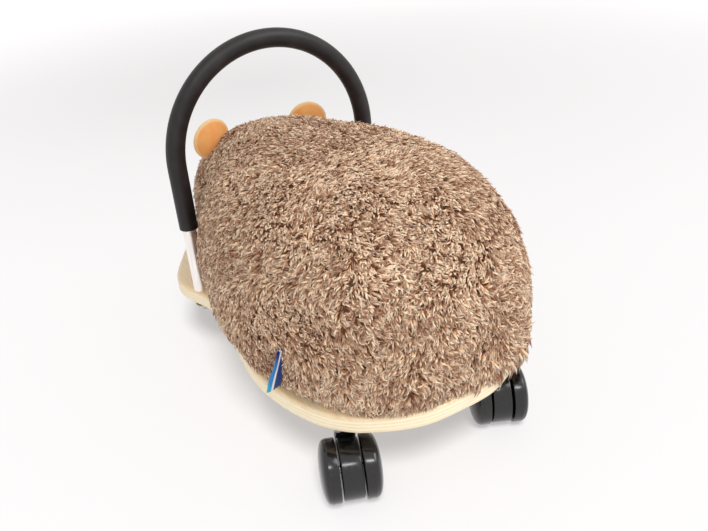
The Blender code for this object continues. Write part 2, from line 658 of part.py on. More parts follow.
def build_hood(name, swivel):
    """Make the hood between the wheels, with its neck, kingpin bore and axle bore."""
    work = bmesh.new()
    across = Matrix.Translation((0, CASTER_TRAIL, AXLE_HEIGHT)) @ Matrix.Rotation(math.pi / 2, 4, "Y")
    bmesh.ops.create_cone(work, cap_ends=True, segments=WHEEL_STEPS, radius1=HOOD_RADIUS,
                          radius2=HOOD_RADIUS, depth=HOOD_WIDTH, matrix=across)
    rims = [edge for edge in work.edges if abs(edge.verts[0].co.x - edge.verts[1].co.x) < GAP]
    bmesh.ops.bevel(work, geom=rims, offset=HOOD_EDGE_ROUND, segments=1, profile=0.5,
                    affect="EDGES")
    hood = add_object(f"{name}_hood", mesh_from(work, name), PARTS, "black_plastic")
    hood.parent = swivel
    neck_top = PLATE_BOTTOM - BEARING_CLEARANCE
    neck = cylinders(f"{name}_neck", [(0, 0, NECK_RADIUS, AXLE_HEIGHT, neck_top)], ROUND_STEPS, CUTTERS)
    bore_low = PLATE_TOP - KINGPIN_DEPTH - BEARING_CLEARANCE
    bore_radius = hole_radius(KINGPIN_RADIUS, BEARING_CLEARANCE, ROUND_STEPS)
    bore = cylinders(f"{name}_bore", [(0, 0, bore_radius, bore_low, neck_top + CUT_OVERRUN)],
                     ROUND_STEPS, CUTTERS)
    reach = HOOD_WIDTH / 2 + CUT_OVERRUN
    axle_hole = hole_radius(AXLE_RADIUS, GAP, ROUND_STEPS)
    axle_bore = cylinders(f"{name}_axle_bore", [(0, 0, axle_hole, -reach, reach)], ROUND_STEPS,
                          CUTTERS)
    axle_bore.location = (0, CASTER_TRAIL, AXLE_HEIGHT)
    axle_bore.rotation_euler = (0, math.pi / 2, 0)
    for cutter in (neck, bore, axle_bore):
        cutter.parent = swivel
        make_cutter(cutter)
    cut(hood, neck, "UNION")
    cut(hood, bore)
    cut(hood, axle_bore)


def build_wheels(name, swivel):
    """Make the axle and its two domed wheels."""
    half = WHEEL_INNER + AXLE_SEAT - GAP
    chamfer = AXLE_RADIUS / 4
    profile = ((0, half), (AXLE_RADIUS - chamfer, half), (AXLE_RADIUS, half - chamfer),
               (AXLE_RADIUS, chamfer - half), (AXLE_RADIUS - chamfer, -half), (0, -half))
    axle = turned(f"{name}_axle", profile, ROUND_STEPS, PARTS, "zinc_steel")
    axle.parent = swivel
    axle.location = (0, CASTER_TRAIL, AXLE_HEIGHT)
    axle.rotation_euler = (0, math.pi / 2, 0)

    bore = hole_radius(AXLE_RADIUS, BEARING_CLEARANCE, WHEEL_STEPS)
    shape_shares = ((0.0, 1.0), (0.45, 0.97), (0.78, 0.86), (0.95, 0.68), (1.0, 0.52), (1.0, 0.10),
                    (0.97, 0.0))
    profile = [(WHEEL_RADIUS * radius, WHEEL_WIDTH * height) for radius, height in shape_shares]
    profile += [(bore, 0), (bore, AXLE_SEAT), (0, AXLE_SEAT)]
    for label, side in SIDES:
        centre = (side * WHEEL_INNER, CASTER_TRAIL, AXLE_HEIGHT)
        spin = add_empty(f"{name}_spin_{label}", centre, (0, side * math.pi / 2, 0), swivel)
        wheel = turned(f"{name}_wheel_{label}", profile, WHEEL_STEPS, PARTS, "black_plastic")
        wheel.parent = spin
        wheel.rotation_euler = (0, 0, WHEEL_FLAT)


def build_casters():
    """Make the four casters: fixed plates and kingpins, and hoods that swivel with their wheels."""
    for label, side, stem_x, stem_y, heading in CASTERS:
        name = f"caster_{label}"
        x = side * stem_x
        y = HANDLE_Y + stem_y
        build_plate(name, x, y)
        build_kingpin(name, x, y)
        swivel = add_empty(f"{name}_swivel", (x, y, 0), (0, 0, -heading))
        build_hood(name, swivel)
        build_wheels(name, swivel)


clear_scene()
PARTS = make_collection("plush_ride_on")
CUTTERS = make_collection("cutters")
build_board()
build_handle()
build_body()
sewn_seat = dome_cutter()
build_ears(sewn_seat)
build_face(sewn_seat)
build_tab(sewn_seat)
build_casters()
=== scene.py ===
"""A shaggy plush ride-on: a stuffed body on a birch board, a bent tube handle and four casters.

Everything is in metres with +Z up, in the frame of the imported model. The animal faces -Y, so its
left side is +X. Each sub-assembly is a class that makes its own meshes and dresses them.
"""

import logging
import math
from collections.abc import Callable, Sequence
from dataclasses import dataclass
from enum import Enum

import bpy
import numpy as np
from mathutils import Matrix, Vector
from mathutils.kdtree import KDTree


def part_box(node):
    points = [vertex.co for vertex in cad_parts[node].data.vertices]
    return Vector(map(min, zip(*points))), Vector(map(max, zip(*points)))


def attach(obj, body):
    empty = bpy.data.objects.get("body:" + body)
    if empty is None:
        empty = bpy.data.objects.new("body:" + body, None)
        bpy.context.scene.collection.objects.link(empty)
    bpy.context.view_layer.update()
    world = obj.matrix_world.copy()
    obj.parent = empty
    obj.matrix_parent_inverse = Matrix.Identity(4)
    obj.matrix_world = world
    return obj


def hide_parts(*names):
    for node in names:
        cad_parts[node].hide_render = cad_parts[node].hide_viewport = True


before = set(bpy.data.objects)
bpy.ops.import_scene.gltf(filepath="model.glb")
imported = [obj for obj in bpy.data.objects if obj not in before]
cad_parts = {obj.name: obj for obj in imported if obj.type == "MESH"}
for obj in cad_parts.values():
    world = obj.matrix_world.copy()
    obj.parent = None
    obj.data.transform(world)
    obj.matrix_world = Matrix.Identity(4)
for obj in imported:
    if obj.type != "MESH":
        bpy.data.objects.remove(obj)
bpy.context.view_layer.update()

LOG = logging.getLogger("plush_ride_on")
BODY = "body"
TUFT_MAP = "OFBake"             # the tufts' own map: tone of the lock across, root to tip along
WELD = 0.00002

Colour = tuple[float, float, float]
Stops = Sequence[tuple[float, Colour]]
Place = tuple[float, float, float]
Pair = tuple[float, float]
Piece = bpy.types.Object
Material = bpy.types.Material
Socket = bpy.types.NodeSocket
Rows = np.ndarray
Waves = tuple[tuple[int, float, float], ...]    # seed, size in metres and strength of each drift

NONE: Colour = (0.0, 0.0, 0.0)
FULL: Colour = (1.0, 1.0, 1.0)


def tint(red: int, green: int, blue: int) -> Colour:
    """Turn a colour as a screen shows it into the linear one that a shader takes.

    Args:
        red: Red, from 0 to 255.
        green: Green, from 0 to 255.
        blue: Blue, from 0 to 255.

    Returns:
        The linear colour.
    """
    shown = [value / 255 for value in (red, green, blue)]
    red_light, green_light, blue_light = (
        value / 12.92 if value <= 0.04045 else ((value + 0.055) / 1.055) ** 2.4 for value in shown)
    return red_light, green_light, blue_light


class Mixture:
    """A material, with the shortcuts that its nodes are laid out with."""

    def __init__(self, name: str) -> None:
        """Start a material that holds one Principled shader.

        Args:
            name: Name of the material.
        """
        self.material = bpy.data.materials.new(name)
        self.material.use_nodes = True
        self.tree = self.material.node_tree
        self.shader = self.tree.nodes["Principled BSDF"]

    def add(self, kind: str, **settings: object) -> bpy.types.Node:
        """Add a node.

        Args:
            kind: Type of the node.
            settings: Properties of the node and their values.

        Returns:
            The new node.
        """
        node = self.tree.nodes.new(kind)
        for key, value in settings.items():
            setattr(node, key, value)
        return node

    def feed(self, socket: Socket, value: object) -> None:
        """Link a value into a socket, or set it there where it is a constant.

        Args:
            socket: The input.
            value: An output of another node, a number or a colour.
        """
        if isinstance(value, Socket):
            self.tree.links.new(value, socket)
        elif isinstance(value, tuple) and len(value) == 3 and socket.type == "RGBA":
            socket.default_value = (*value, 1.0)
        else:
            socket.default_value = value

    def place(self, stretch: Place = (1.0, 1.0, 1.0)) -> Socket:
        """Return the object's own coordinates, squeezed by a factor along each axis.

        Args:
            stretch: Factor for x, y and z. A small one draws the pattern out along that axis.

        Returns:
            The coordinates.
        """
        mapping = self.add("ShaderNodeMapping")
        self.feed(mapping.inputs["Vector"], self.add("ShaderNodeTexCoord").outputs["Object"])
        mapping.inputs["Scale"].default_value = stretch
        return mapping.outputs["Vector"]

    def noise(self, place: Socket, size: float, detail: float = 2.0) -> Socket:
        """Add a noise.

        Args:
            place: Coordinates.
            size: Size of its patches in metres.
            detail: Number of finer octaves.

        Returns:
            Its value, from 0 to 1.
        """
        node = self.add("ShaderNodeTexNoise")
        self.feed(node.inputs["Vector"], place)
        node.inputs["Scale"].default_value = 1 / size
        node.inputs["Detail"].default_value = detail
        return node.outputs["Fac"]

    def ramp(self, value: Socket, stops: Stops) -> Socket:
        """Turn a value into a colour.

        Args:
            value: The value.
            stops: Value and colour of each stop, lowest first.

        Returns:
            The colour.
        """
        node = self.add("ShaderNodeValToRGB")
        band = node.color_ramp
        while len(band.elements) < len(stops):
            band.elements.new(0.5)
        for element, (position, colour) in zip(band.elements, stops):
            element.position = position
            element.color = (*colour, 1.0)
        self.feed(node.inputs["Fac"], value)
        return node.outputs["Color"]

    def mix(self, share: object, first: object, second: object) -> Socket:
        """Mix two colours.

        Args:
            share: Share of the second colour.
            first: First colour.
            second: Second colour.

        Returns:
            The mixed colour.
        """
        node = self.add("ShaderNodeMix", data_type="RGBA")
        self.feed(node.inputs[0], share)
        self.feed(node.inputs[6], first)
        self.feed(node.inputs[7], second)
        return node.outputs[2]

    def sum(self, operation: str, first: object, second: object = 0.0) -> Socket:
        """Work out a number from one or two others.

        Args:
            operation: Operation of the Math node.
            first: First number.
            second: Second number.

        Returns:
            The result.
        """
        node = self.add("ShaderNodeMath", operation=operation)
        self.feed(node.inputs[0], first)
        self.feed(node.inputs[1], second)
        return node.outputs[0]

    def scaled(self, value: object, factor: float, base: float) -> Socket:
        """Multiply a value by a factor and add a base to it.

        Args:
            value: The value.
            factor: The factor.
            base: The base.

        Returns:
            The result.
        """
        result = self.sum("MULTIPLY_ADD", value, factor)
        result.node.inputs[2].default_value = base
        return result

    def split(self, vector: Socket) -> bpy.types.Node:
        """Split a vector into its three parts.

        Args:
            vector: The vector.

        Returns:
            The node whose outputs X, Y and Z are the parts.
        """
        node = self.add("ShaderNodeSeparateXYZ")
        self.feed(node.inputs[0], vector)
        return node

    def relief(self, height: Socket, depth: float, strength: float = 1.0) -> None:
        """Give the surface a relief.

        Args:
            height: Height of the relief, from 0 to 1.
            depth: What 1 stands for, in metres.
            strength: Share of the relief that shows.
        """
        node = self.add("ShaderNodeBump")
        node.inputs["Distance"].default_value = depth
        node.inputs["Strength"].default_value = strength
        self.feed(node.inputs["Height"], height)
        self.feed(self.shader.inputs["Normal"], node.outputs["Normal"])

    def done(self, colour: object, roughness: object, **constants: object) -> Material:
        """Feed the shader and hand the material over.

        Args:
            colour: Base colour.
            roughness: Roughness.
            constants: Values for other inputs of the shader, by name with _ for a space.

        Returns:
            The finished material.
        """
        self.feed(self.shader.inputs["Base Color"], colour)
        self.feed(self.shader.inputs["Roughness"], roughness)
        for key, value in constants.items():
            self.feed(self.shader.inputs[key.replace("_", " ")], value)
        return self.material


@dataclass(frozen=True)
class PileFinish:
    """Acrylic pile, dark at the root and pale at the tip: partly its own two tones, partly painted
    shade deep between the locks and painted highlight on the tips.
    """

    # the root stops are darkened partly as painted shade between the locks, the tip stops lightened
    # partly as painted highlight
    dark_lock: Stops = ((0.0, tint(40, 22, 13)), (0.30, tint(86, 50, 30)),
                        (0.72, tint(156, 102, 70)), (1.0, tint(206, 150, 112)))
    pale_lock: Stops = ((0.0, tint(80, 47, 30)), (0.24, tint(229, 165, 122)),
                        (0.52, tint(255, 221, 184)), (1.0, tint(255, 245, 224)))
    roughness: float = 0.75

    def make(self) -> Material:
        """Mix the material, which reads nothing but the tufts' own map.

        Returns:
            The material.
        """
        mixture = Mixture("brown_pile")
        tuft = mixture.add("ShaderNodeUVMap", uv_map=TUFT_MAP)
        split = mixture.split(tuft.outputs["UV"])
        dark = mixture.ramp(split.outputs["Y"], self.dark_lock)
        pale = mixture.ramp(split.outputs["Y"], self.pale_lock)
        colour = mixture.mix(split.outputs["X"], dark, pale)
        return mixture.done(colour, self.roughness, Specular_IOR_Level=0.25, Sheen_Weight=0.15,
                            Sheen_Roughness=0.4, Sheen_Tint=(1.0, 0.86, 0.74))


@dataclass(frozen=True)
class BackingFinish:
    """The knitted backing between the tufts."""

    ground: Colour = tint(82, 54, 37)
    loop: Colour = tint(126, 88, 62)
    loop_size: float = 0.0009
    loop_depth: float = 0.0006

    def make(self) -> Material:
        """Mix the material.

        Returns:
            The material.
        """
        mixture = Mixture("brown_backing")
        place = mixture.place()
        loops = mixture.noise(place, self.loop_size, 3.0)
        colour = mixture.ramp(loops, ((0.35, self.ground), (0.7, self.loop)))
        mixture.relief(loops, self.loop_depth)
        return mixture.done(colour, 0.9, Specular_IOR_Level=0.2)


@dataclass(frozen=True)
class VelourFinish:
    """Short brushed velour, with a paler rim painted on as a highlight where the piece marks one."""

    name: str
    face: Colour
    shade: Colour
    # edge: pale colour, painted along a marked rim as a highlight and flecked into the nap's tips
    edge: Colour
    nap: float = 0.0007
    nap_depth: float = 0.0004
    brushed: float = 0.009          # size of the patches in which the nap lies one way
    fleck: float = 0.28             # share of the edge's colour in the tips of the nap

    def make(self) -> Material:
        """Mix the material, which reads the piece's own attribute for the rim that it paints paler
        as a highlight.

        Returns:
            The material.
        """
        mixture = Mixture(self.name)
        place = mixture.place()
        brushed = mixture.noise(place, self.brushed, 3.0)
        nap = mixture.noise(mixture.place((1.0, 1.0, 0.45)), self.nap)
        base = mixture.ramp(brushed, ((0.35, self.shade), (0.62, self.face)))
        flecked = mixture.mix(mixture.sum("MULTIPLY", nap, self.fleck), base, self.edge)
        # painted highlight: the pale colour is laid along the rim that the piece's edge attribute
        # marks
        rim = mixture.add("ShaderNodeAttribute", attribute_name="edge")
        colour = mixture.mix(rim.outputs["Fac"], flecked, self.edge)
        mixture.relief(nap, self.nap_depth, 0.7)
        return mixture.done(colour, 0.82, Specular_IOR_Level=0.2, Sheen_Weight=0.35,
                            Sheen_Roughness=0.35, Sheen_Tint=(1.0, 0.9, 0.78))


@dataclass(frozen=True)
class BirchFinish:
    """Clear lacquered birch veneer: long pale grain with finer, darker pores."""

    pale: Colour = tint(255, 236, 198)
    warm: Colour = tint(250, 217, 168)
    pore: Colour = tint(222, 180, 128)
    grain_width: float = 0.0045
    grain_drawn: float = 0.06       # squeeze along Y that draws the grain out
    bend_size: float = 0.05         # size of the wide bends in the grain
    bend: float = 0.012
    pore_width: float = 0.0008
    pore_drawn: float = 0.035
    pore_depth: float = 0.00008
    roughness: float = 0.36

    def make(self) -> Material:
        """Mix the material, with its grain along Y.

        Returns:
            The material.
        """
        mixture = Mixture("birch_veneer")
        bend = mixture.noise(mixture.place((1.0, 0.25, 1.0)), self.bend_size)
        long_place = mixture.place((1.0, self.grain_drawn, 1.0))
        figure = mixture.add("ShaderNodeVectorMath", operation="ADD")
        mixture.feed(figure.inputs[0], long_place)
        mixture.feed(figure.inputs[1], mixture.mix(1 - self.bend, bend, NONE))
        grain = mixture.noise(figure.outputs[0], self.grain_width, 3.0)
        pores = mixture.noise(mixture.place((1.0, self.pore_drawn, 1.0)), self.pore_width, 1.0)
        base = mixture.ramp(grain, ((0.32, self.warm), (0.60, self.pale)))
        fine = mixture.ramp(pores, ((0.60, NONE), (0.74, (0.55, 0.55, 0.55))))
        colour = mixture.mix(fine, base, self.pore)
        mixture.relief(pores, self.pore_depth, 0.5)
        gloss = mixture.scaled(grain, 0.12, self.roughness)
        return mixture.done(colour, gloss, Coat_Weight=0.25, Coat_Roughness=0.3)


@dataclass(frozen=True)
class PlyFinish:
    """The sanded edge of birch plywood, with its layers."""

    pale: Colour = tint(254, 242, 212)
    dark: Colour = tint(246, 224, 185)
    ply: float = 0.0015
    fibre: float = 0.0011
    fibre_depth: float = 0.0001

    def make(self) -> Material:
        """Mix the material, with a layer each ply's thickness along Z.

        Returns:
            The material.
        """
        mixture = Mixture("birch_ply_edge")
        split = mixture.split(mixture.place())
        height = mixture.sum("MULTIPLY", split.outputs["Z"], math.pi / self.ply)
        layer = mixture.sum("SINE", height)
        soft = mixture.scaled(layer, 0.5, 0.5)
        fibres = mixture.noise(mixture.place((0.2, 0.2, 1.0)), self.fibre)
        blend = mixture.sum("MULTIPLY", soft, fibres)
        colour = mixture.ramp(blend, ((0.08, self.pale), (0.55, self.dark)))
        mixture.relief(fibres, self.fibre_depth, 0.6)
        return mixture.done(colour, 0.5)


@dataclass(frozen=True)
class GripFinish:
    """Satin black foam rubber with a fine skin."""

    black: Colour = tint(20, 15, 16)
    worn: Colour = tint(40, 33, 34)
    patch: float = 0.018            # size of the worn patches
    grain: float = 0.0006
    grain_depth: float = 0.00012
    roughness: float = 0.40

    def make(self) -> Material:
        """Mix the material.

        Returns:
            The material.
        """
        mixture = Mixture("black_foam_rubber")
        place = mixture.place()
        wear = mixture.noise(place, self.patch, 3.0)
        skin = mixture.noise(place, self.grain)
        colour = mixture.ramp(wear, ((0.35, self.black), (0.72, self.worn)))
        rough = mixture.scaled(wear, 0.16, self.roughness)
        mixture.relief(skin, self.grain_depth, 0.6)
        return mixture.done(colour, rough, Specular_IOR_Level=0.38)


@dataclass(frozen=True)
class MetalFinish:
    """Plated or polished steel, with a faint drawn or spangled pattern."""

    name: str
    bright: Colour
    dull: Colour
    roughness: float
    stretch: Place = (1.0, 1.0, 1.0)
    spot: float = 0.004
    spot_depth: float = 0.00004

    def make(self) -> Material:
        """Mix the material.

        Returns:
            The material.
        """
        mixture = Mixture(self.name)
        streaks = mixture.noise(mixture.place(self.stretch), self.spot, 3.0)
        colour = mixture.ramp(streaks, ((0.3, self.dull), (0.65, self.bright)))
        rough = mixture.scaled(streaks, 0.14, self.roughness)
        mixture.relief(streaks, self.spot_depth, 0.4)
        return mixture.done(colour, rough, Metallic=1.0)


@dataclass(frozen=True)
class GlossPlasticFinish:
    """Injection-moulded black nylon, glossy, with a little dust and scuffing."""

    black: Colour = tint(14, 13, 14)
    scuff: Colour = tint(48, 46, 46)
    dust: float = 0.0035
    dust_depth: float = 0.00006
    scratch: float = 0.0007
    roughness: float = 0.06

    def make(self) -> Material:
        """Mix the material.

        Returns:
            The material.
        """
        mixture = Mixture("black_nylon")
        place = mixture.place()
        dust = mixture.noise(place, self.dust, 4.0)
        scratches = mixture.noise(mixture.place((1.0, 1.0, 0.08)), self.scratch, 1.0)
        marks = mixture.sum("MULTIPLY", dust, scratches)
        colour = mixture.ramp(marks, ((0.30, self.black), (0.62, self.scuff)))
        rough = mixture.scaled(dust, 0.22, self.roughness)
        mixture.relief(dust, self.dust_depth, 0.35)
        return mixture.done(colour, rough, Specular_IOR_Level=0.6)


@dataclass(frozen=True)
class GlassFinish:
    """Glossy black of the eyes and the nose."""

    black: Colour = tint(12, 9, 8)
    brown: Colour = tint(30, 19, 14)
    cloud: float = 0.006
    roughness: float = 0.05

    def make(self) -> Material:
        """Mix the material.

        Returns:
            The material.
        """
        mixture = Mixture("gloss_black_bead")
        cloud = mixture.noise(mixture.place(), self.cloud)
        colour = mixture.ramp(cloud, ((0.4, self.black), (0.7, self.brown)))
        rough = mixture.scaled(cloud, 0.08, self.roughness)
        return mixture.done(colour, rough, Specular_IOR_Level=0.25, Coat_Weight=0.2,
                            Coat_Roughness=0.04)


@dataclass(frozen=True)
class ThreadFinish:
    """Twisted brown sewing thread."""

    light: Colour = tint(96, 62, 42)
    dark: Colour = tint(48, 29, 20)
    ply: float = 0.0009
    ply_depth: float = 0.0003

    def make(self) -> Material:
        """Mix the material.

        Returns:
            The material.
        """
        mixture = Mixture("brown_thread")
        twist = mixture.noise(mixture.place((1.0, 1.0, 0.5)), self.ply, 1.0)
        colour = mixture.ramp(twist, ((0.35, self.dark), (0.65, self.light)))
        mixture.relief(twist, self.ply_depth)
        return mixture.done(colour, 0.6, Sheen_Weight=0.2)


@dataclass(frozen=True)
class RibbonFinish:
    """Woven satin ribbon: a blue face with two white stripes, painted darker to navy towards its
    upper end as shade.
    """

    # navy serves the selvage and the weave, and is also painted over the upper end as shade
    navy: Colour = tint(22, 34, 116)
    blue: Colour = tint(34, 140, 214)
    teal: Colour = tint(60, 190, 210)
    stripe: Colour = tint(244, 246, 250)
    rib: float = 0.0006
    rib_depth: float = 0.0001

    def make(self) -> Material:
        """Mix the material, which reads the ribbon's own map: along it, then across it.

        Returns:
            The material.
        """
        mixture = Mixture("blue_ribbon")
        ribbon = mixture.add("ShaderNodeUVMap", uv_map="ribbon")
        split = mixture.split(ribbon.outputs["UV"])
        # painted shade: the face darkens from teal at the lower end to navy at the upper end, where
        # the ribbon comes out of the fur
        face = mixture.ramp(split.outputs["X"], ((0.0, self.teal), (0.3, self.blue),
                                                 (0.72, self.blue), (0.95, self.navy)))
        middle = mixture.sum("ABSOLUTE", mixture.sum("SUBTRACT", split.outputs["Y"], 0.5))
        border = mixture.ramp(middle, ((0.120, NONE), (0.135, FULL), (0.195, FULL), (0.210, NONE)))
        selvage = mixture.ramp(middle, ((0.200, NONE), (0.215, (0.85, 0.85, 0.85))))
        weave = mixture.noise(mixture.place(), self.rib, 1.0)
        woven = mixture.mix(mixture.sum("MULTIPLY", weave, 0.35), face, self.navy)
        woven = mixture.mix(selvage, woven, self.navy)
        colour = mixture.mix(border, woven, self.stripe)
        mixture.relief(weave, self.rib_depth, 0.6)
        return mixture.done(colour, 0.5, Specular_IOR_Level=0.3)


@dataclass(frozen=True)
class SweepFinish:
    """The pale floor: it keeps a soft shadow, looks near white to the camera and in gloss, and has a
    painted shade in a broad patch behind the toy.
    """

    paper: Colour = (0.46, 0.455, 0.455)
    seen_paper: Colour = (0.34, 0.335, 0.335)
    lift: float = 0.47
    painted_shade: float = 0.48               # painted shade: how much the floor's glow is dimmed in a broad patch behind the toy
    painted_shade_middle: Place = (-0.45, -1.10, 0.0)
    painted_shade_reach: float = 1.60
    patch: float = 1.1              # size of the faint patches in the paper
    patch_shade: float = 0.94

    def make(self) -> Material:
        """Mix the material.

        Returns:
            The material.
        """
        mixture = Mixture("white_sweep")
        off = mixture.add("ShaderNodeVectorMath", operation="SUBTRACT")
        mixture.feed(off.inputs[0], mixture.place())
        off.inputs[1].default_value = self.painted_shade_middle
        scaled = mixture.add("ShaderNodeVectorMath", operation="SCALE")
        mixture.feed(scaled.inputs[0], off.outputs[0])
        scaled.inputs["Scale"].default_value = 1 / self.painted_shade_reach
        # painted shade: a spherical gradient dims the floor's glow in a broad patch behind the toy
        shade_ball = mixture.add("ShaderNodeTexGradient", gradient_type="SPHERICAL")
        mixture.feed(shade_ball.inputs[0], scaled.outputs[0])
        bright = mixture.scaled(shade_ball.outputs["Fac"], -self.painted_shade * self.lift, self.lift)
        rays = mixture.add("ShaderNodeLightPath")
        seen = mixture.sum("MAXIMUM", rays.outputs["Is Camera Ray"], rays.outputs["Is Glossy Ray"])
        seen = mixture.sum("MAXIMUM", seen, rays.outputs["Is Transmission Ray"])
        patch = mixture.noise(mixture.place(), self.patch, 0.0)
        shaded = tuple(self.patch_shade * value for value in self.seen_paper)
        lit = mixture.ramp(patch, ((0.3, shaded), (0.7, self.seen_paper)))
        colour = mixture.mix(seen, self.paper, lit)
        mixture.feed(mixture.shader.inputs["Emission Strength"],
                     mixture.sum("MULTIPLY", seen, bright))
        return mixture.done(colour, 0.9, Specular_IOR_Level=0.0, Emission_Color=(1.0, 0.985, 0.99))


class Bench:
    """The modelling steps that all pieces share, done with Blender's own operators."""

    @staticmethod
    def clear() -> None:
        """Leave edit mode and deselect everything."""
        if bpy.context.object and bpy.context.object.mode != "OBJECT":
            bpy.ops.object.mode_set(mode="OBJECT")
        bpy.ops.object.select_all(action="DESELECT")

    @staticmethod
    def take(piece: Piece) -> None:
        """Select one piece alone and make it the active one.

        Args:
            piece: The piece.
        """
        Bench.clear()
        piece.select_set(True)
        bpy.context.view_layer.objects.active = piece

    @staticmethod
    def named(name: str) -> Piece:
        """Name the primitive that was added last, and its mesh.

        Args:
            name: The name.

        Returns:
            The primitive's object.
        """
        piece = bpy.context.object
        piece.name = piece.data.name = name
        return piece

    @staticmethod
    def pick(piece: Piece, kind: str, test: Callable[[Vector, Vector], bool]) -> None:
        """Select the edges or the faces that pass a test, and stay in edit mode.

        Args:
            piece: The piece, which is the active one.
            kind: EDGE or FACE.
            test: Takes the places of an edge's ends, or a face's middle and normal, and says
                whether it is wanted.
        """
        bpy.ops.object.mode_set(mode="EDIT")
        bpy.ops.mesh.select_mode(type=kind)
        bpy.ops.mesh.select_all(action="DESELECT")
        bpy.ops.object.mode_set(mode="OBJECT")
        points = piece.data.vertices
        if kind == "EDGE":
            for edge in piece.data.edges:
                edge.select = test(*(points[index].co for index in edge.vertices))
        else:
            for face in piece.data.polygons:
                face.select = test(face.center, face.normal)
        bpy.ops.object.mode_set(mode="EDIT")

    @staticmethod
    def grow(step: Place, factor: float = 1.0) -> None:
        """Extrude what is selected by a step, then scale it about its own middle.

        Args:
            step: How far it moves.
            factor: Scale in the plane of the ring.
        """
        bpy.ops.mesh.extrude_region_move(TRANSFORM_OT_translate={"value": step})
        if factor != 1.0:
            bpy.ops.transform.resize(value=(factor, factor, factor))

    @staticmethod
    def close() -> None:
        """Weld doubles, turn all faces outward and leave edit mode."""
        bpy.ops.mesh.select_all(action="SELECT")
        bpy.ops.mesh.remove_doubles(threshold=WELD)
        bpy.ops.mesh.normals_make_consistent(inside=False)
        bpy.ops.object.mode_set(mode="OBJECT")

    @staticmethod
    def modify(piece: Piece, kind: str, **settings: object) -> None:
        """Add a modifier to a piece and apply it.

        Args:
            piece: The piece.
            kind: Type of the modifier.
            settings: Its properties and their values.
        """
        Bench.take(piece)
        modifier = piece.modifiers.new(kind.lower(), kind)
        for key, value in settings.items():
            setattr(modifier, key, value)
        bpy.ops.object.modifier_apply(modifier=modifier.name)

    @staticmethod
    def bevel_rims(piece: Piece, test: Callable[[Vector, Vector], bool], size: float,
                   steps: int) -> None:
        """Round the edges that pass a test.

        Args:
            piece: The piece.
            test: Takes the places of an edge's ends and says whether it is rounded.
            size: Size of the rounding.
            steps: Number of faces across it.
        """
        Bench.take(piece)
        Bench.pick(piece, "EDGE", test)
        bpy.ops.mesh.bevel(offset=size, segments=steps, profile=0.5, affect="EDGES")
        bpy.ops.object.mode_set(mode="OBJECT")

    @staticmethod
    def copy(piece: Piece, name: str) -> Piece:
        """Copy a piece, with a mesh of its own.

        Args:
            piece: The piece.
            name: Name of the copy.

        Returns:
            The copy.
        """
        twin = piece.copy()
        twin.data = piece.data.copy()
        twin.name = twin.data.name = name
        bpy.context.scene.collection.objects.link(twin)
        return twin

    @staticmethod
    def settle(piece: Piece, smooth: float = 35.0) -> None:
        """Apply a piece's place to its mesh, and shade it smooth.

        Args:
            piece: The piece.
            smooth: Largest angle in degrees that is shaded smooth.
        """
        Bench.take(piece)
        bpy.ops.object.transform_apply(location=True, rotation=True, scale=True)
        bpy.ops.object.shade_smooth_by_angle(angle=math.radians(smooth))

    @staticmethod
    def hand_over(piece: Piece, body: str, slot: str, finish: Material,
                  stands_for: Sequence[str] = ()) -> Piece:
        """Give a piece its finish, tie it to the frame and report it.

        Args:
            piece: The finished piece.
            body: Body that it moves with.
            slot: Name of a material slot; it is not used.
            finish: Material, put first in the piece's slots.
            stands_for: Nodes that it replaces.

        Returns:
            The piece.
        """
        if not piece.data.materials:
            piece.data.materials.append(finish)
        piece.data.materials[0] = finish
        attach(piece, body)
        if stands_for:
            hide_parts(*stands_for)
        LOG.info("%s: %d faces, on %s", piece.name, len(piece.data.polygons), body)
        return piece


class Stuffing:
    """Swells a piece with a short cloth simulation, as filling does inside a sewn cover."""

    PRESSURE = 4.0
    STIFFNESS = 12.0
    BENDING = 0.4
    FRAMES = 20
    LEAST_HELD = 0.02

    @staticmethod
    def swell(piece: Piece, voxel: float, most: float,
              sewn: Callable[[Rows], Rows], filled: float = 0.0) -> None:
        """Remesh a closed piece evenly and blow it up, except where it is sewn down.

        Args:
            piece: The piece, a little smaller than it ends.
            voxel: Size of a cell of the even mesh.
            most: The furthest that a point may move.
            sewn: Takes the points' places and gives the share from 0 to 1 that each is held.
            filled: How far the filling alone holds the free points out.
        """
        Bench.take(piece)
        piece.data.remesh_voxel_size = voxel
        piece.data.use_remesh_fix_poles = True
        bpy.ops.object.voxel_remesh()
        Bench.modify(piece, "SMOOTH", factor=0.5, iterations=4)
        start = read_points(piece)
        held = sewn(start)
        start = start + read_normals(piece) * (filled * (1 - held))[:, None]
        write_points(piece, start)
        group = piece.vertex_groups.new(name="sewn")
        for index in np.nonzero(held > Stuffing.LEAST_HELD)[0]:
            group.add([int(index)], float(held[index]), "REPLACE")
        cloth = piece.modifiers.new("filling", "CLOTH")
        cloth.settings.use_pressure = True
        cloth.settings.uniform_pressure_force = Stuffing.PRESSURE
        cloth.settings.vertex_group_mass = "sewn"
        cloth.settings.effector_weights.gravity = 0
        cloth.settings.tension_stiffness = Stuffing.STIFFNESS
        cloth.settings.compression_stiffness = Stuffing.STIFFNESS
        cloth.settings.bending_stiffness = Stuffing.BENDING
        for number in range(1, Stuffing.FRAMES + 1):
            bpy.context.scene.frame_set(number)
        shaped = piece.evaluated_get(bpy.context.evaluated_depsgraph_get())
        ended = np.empty(len(shaped.data.vertices) * 3)
        shaped.data.vertices.foreach_get("co", ended)
        moved = ended.reshape(-1, 3) - start
        reach = np.linalg.norm(moved, axis=1, keepdims=True)
        capped = moved * np.minimum(1.0, most / np.maximum(reach, 1e-9))
        LOG.info("%s: cloth moved %.1f mm on average", piece.name, 1000 * float(reach.mean()))
        piece.modifiers.remove(cloth)
        piece.vertex_groups.clear()
        bpy.context.scene.frame_set(1)
        write_points(piece, start + capped)


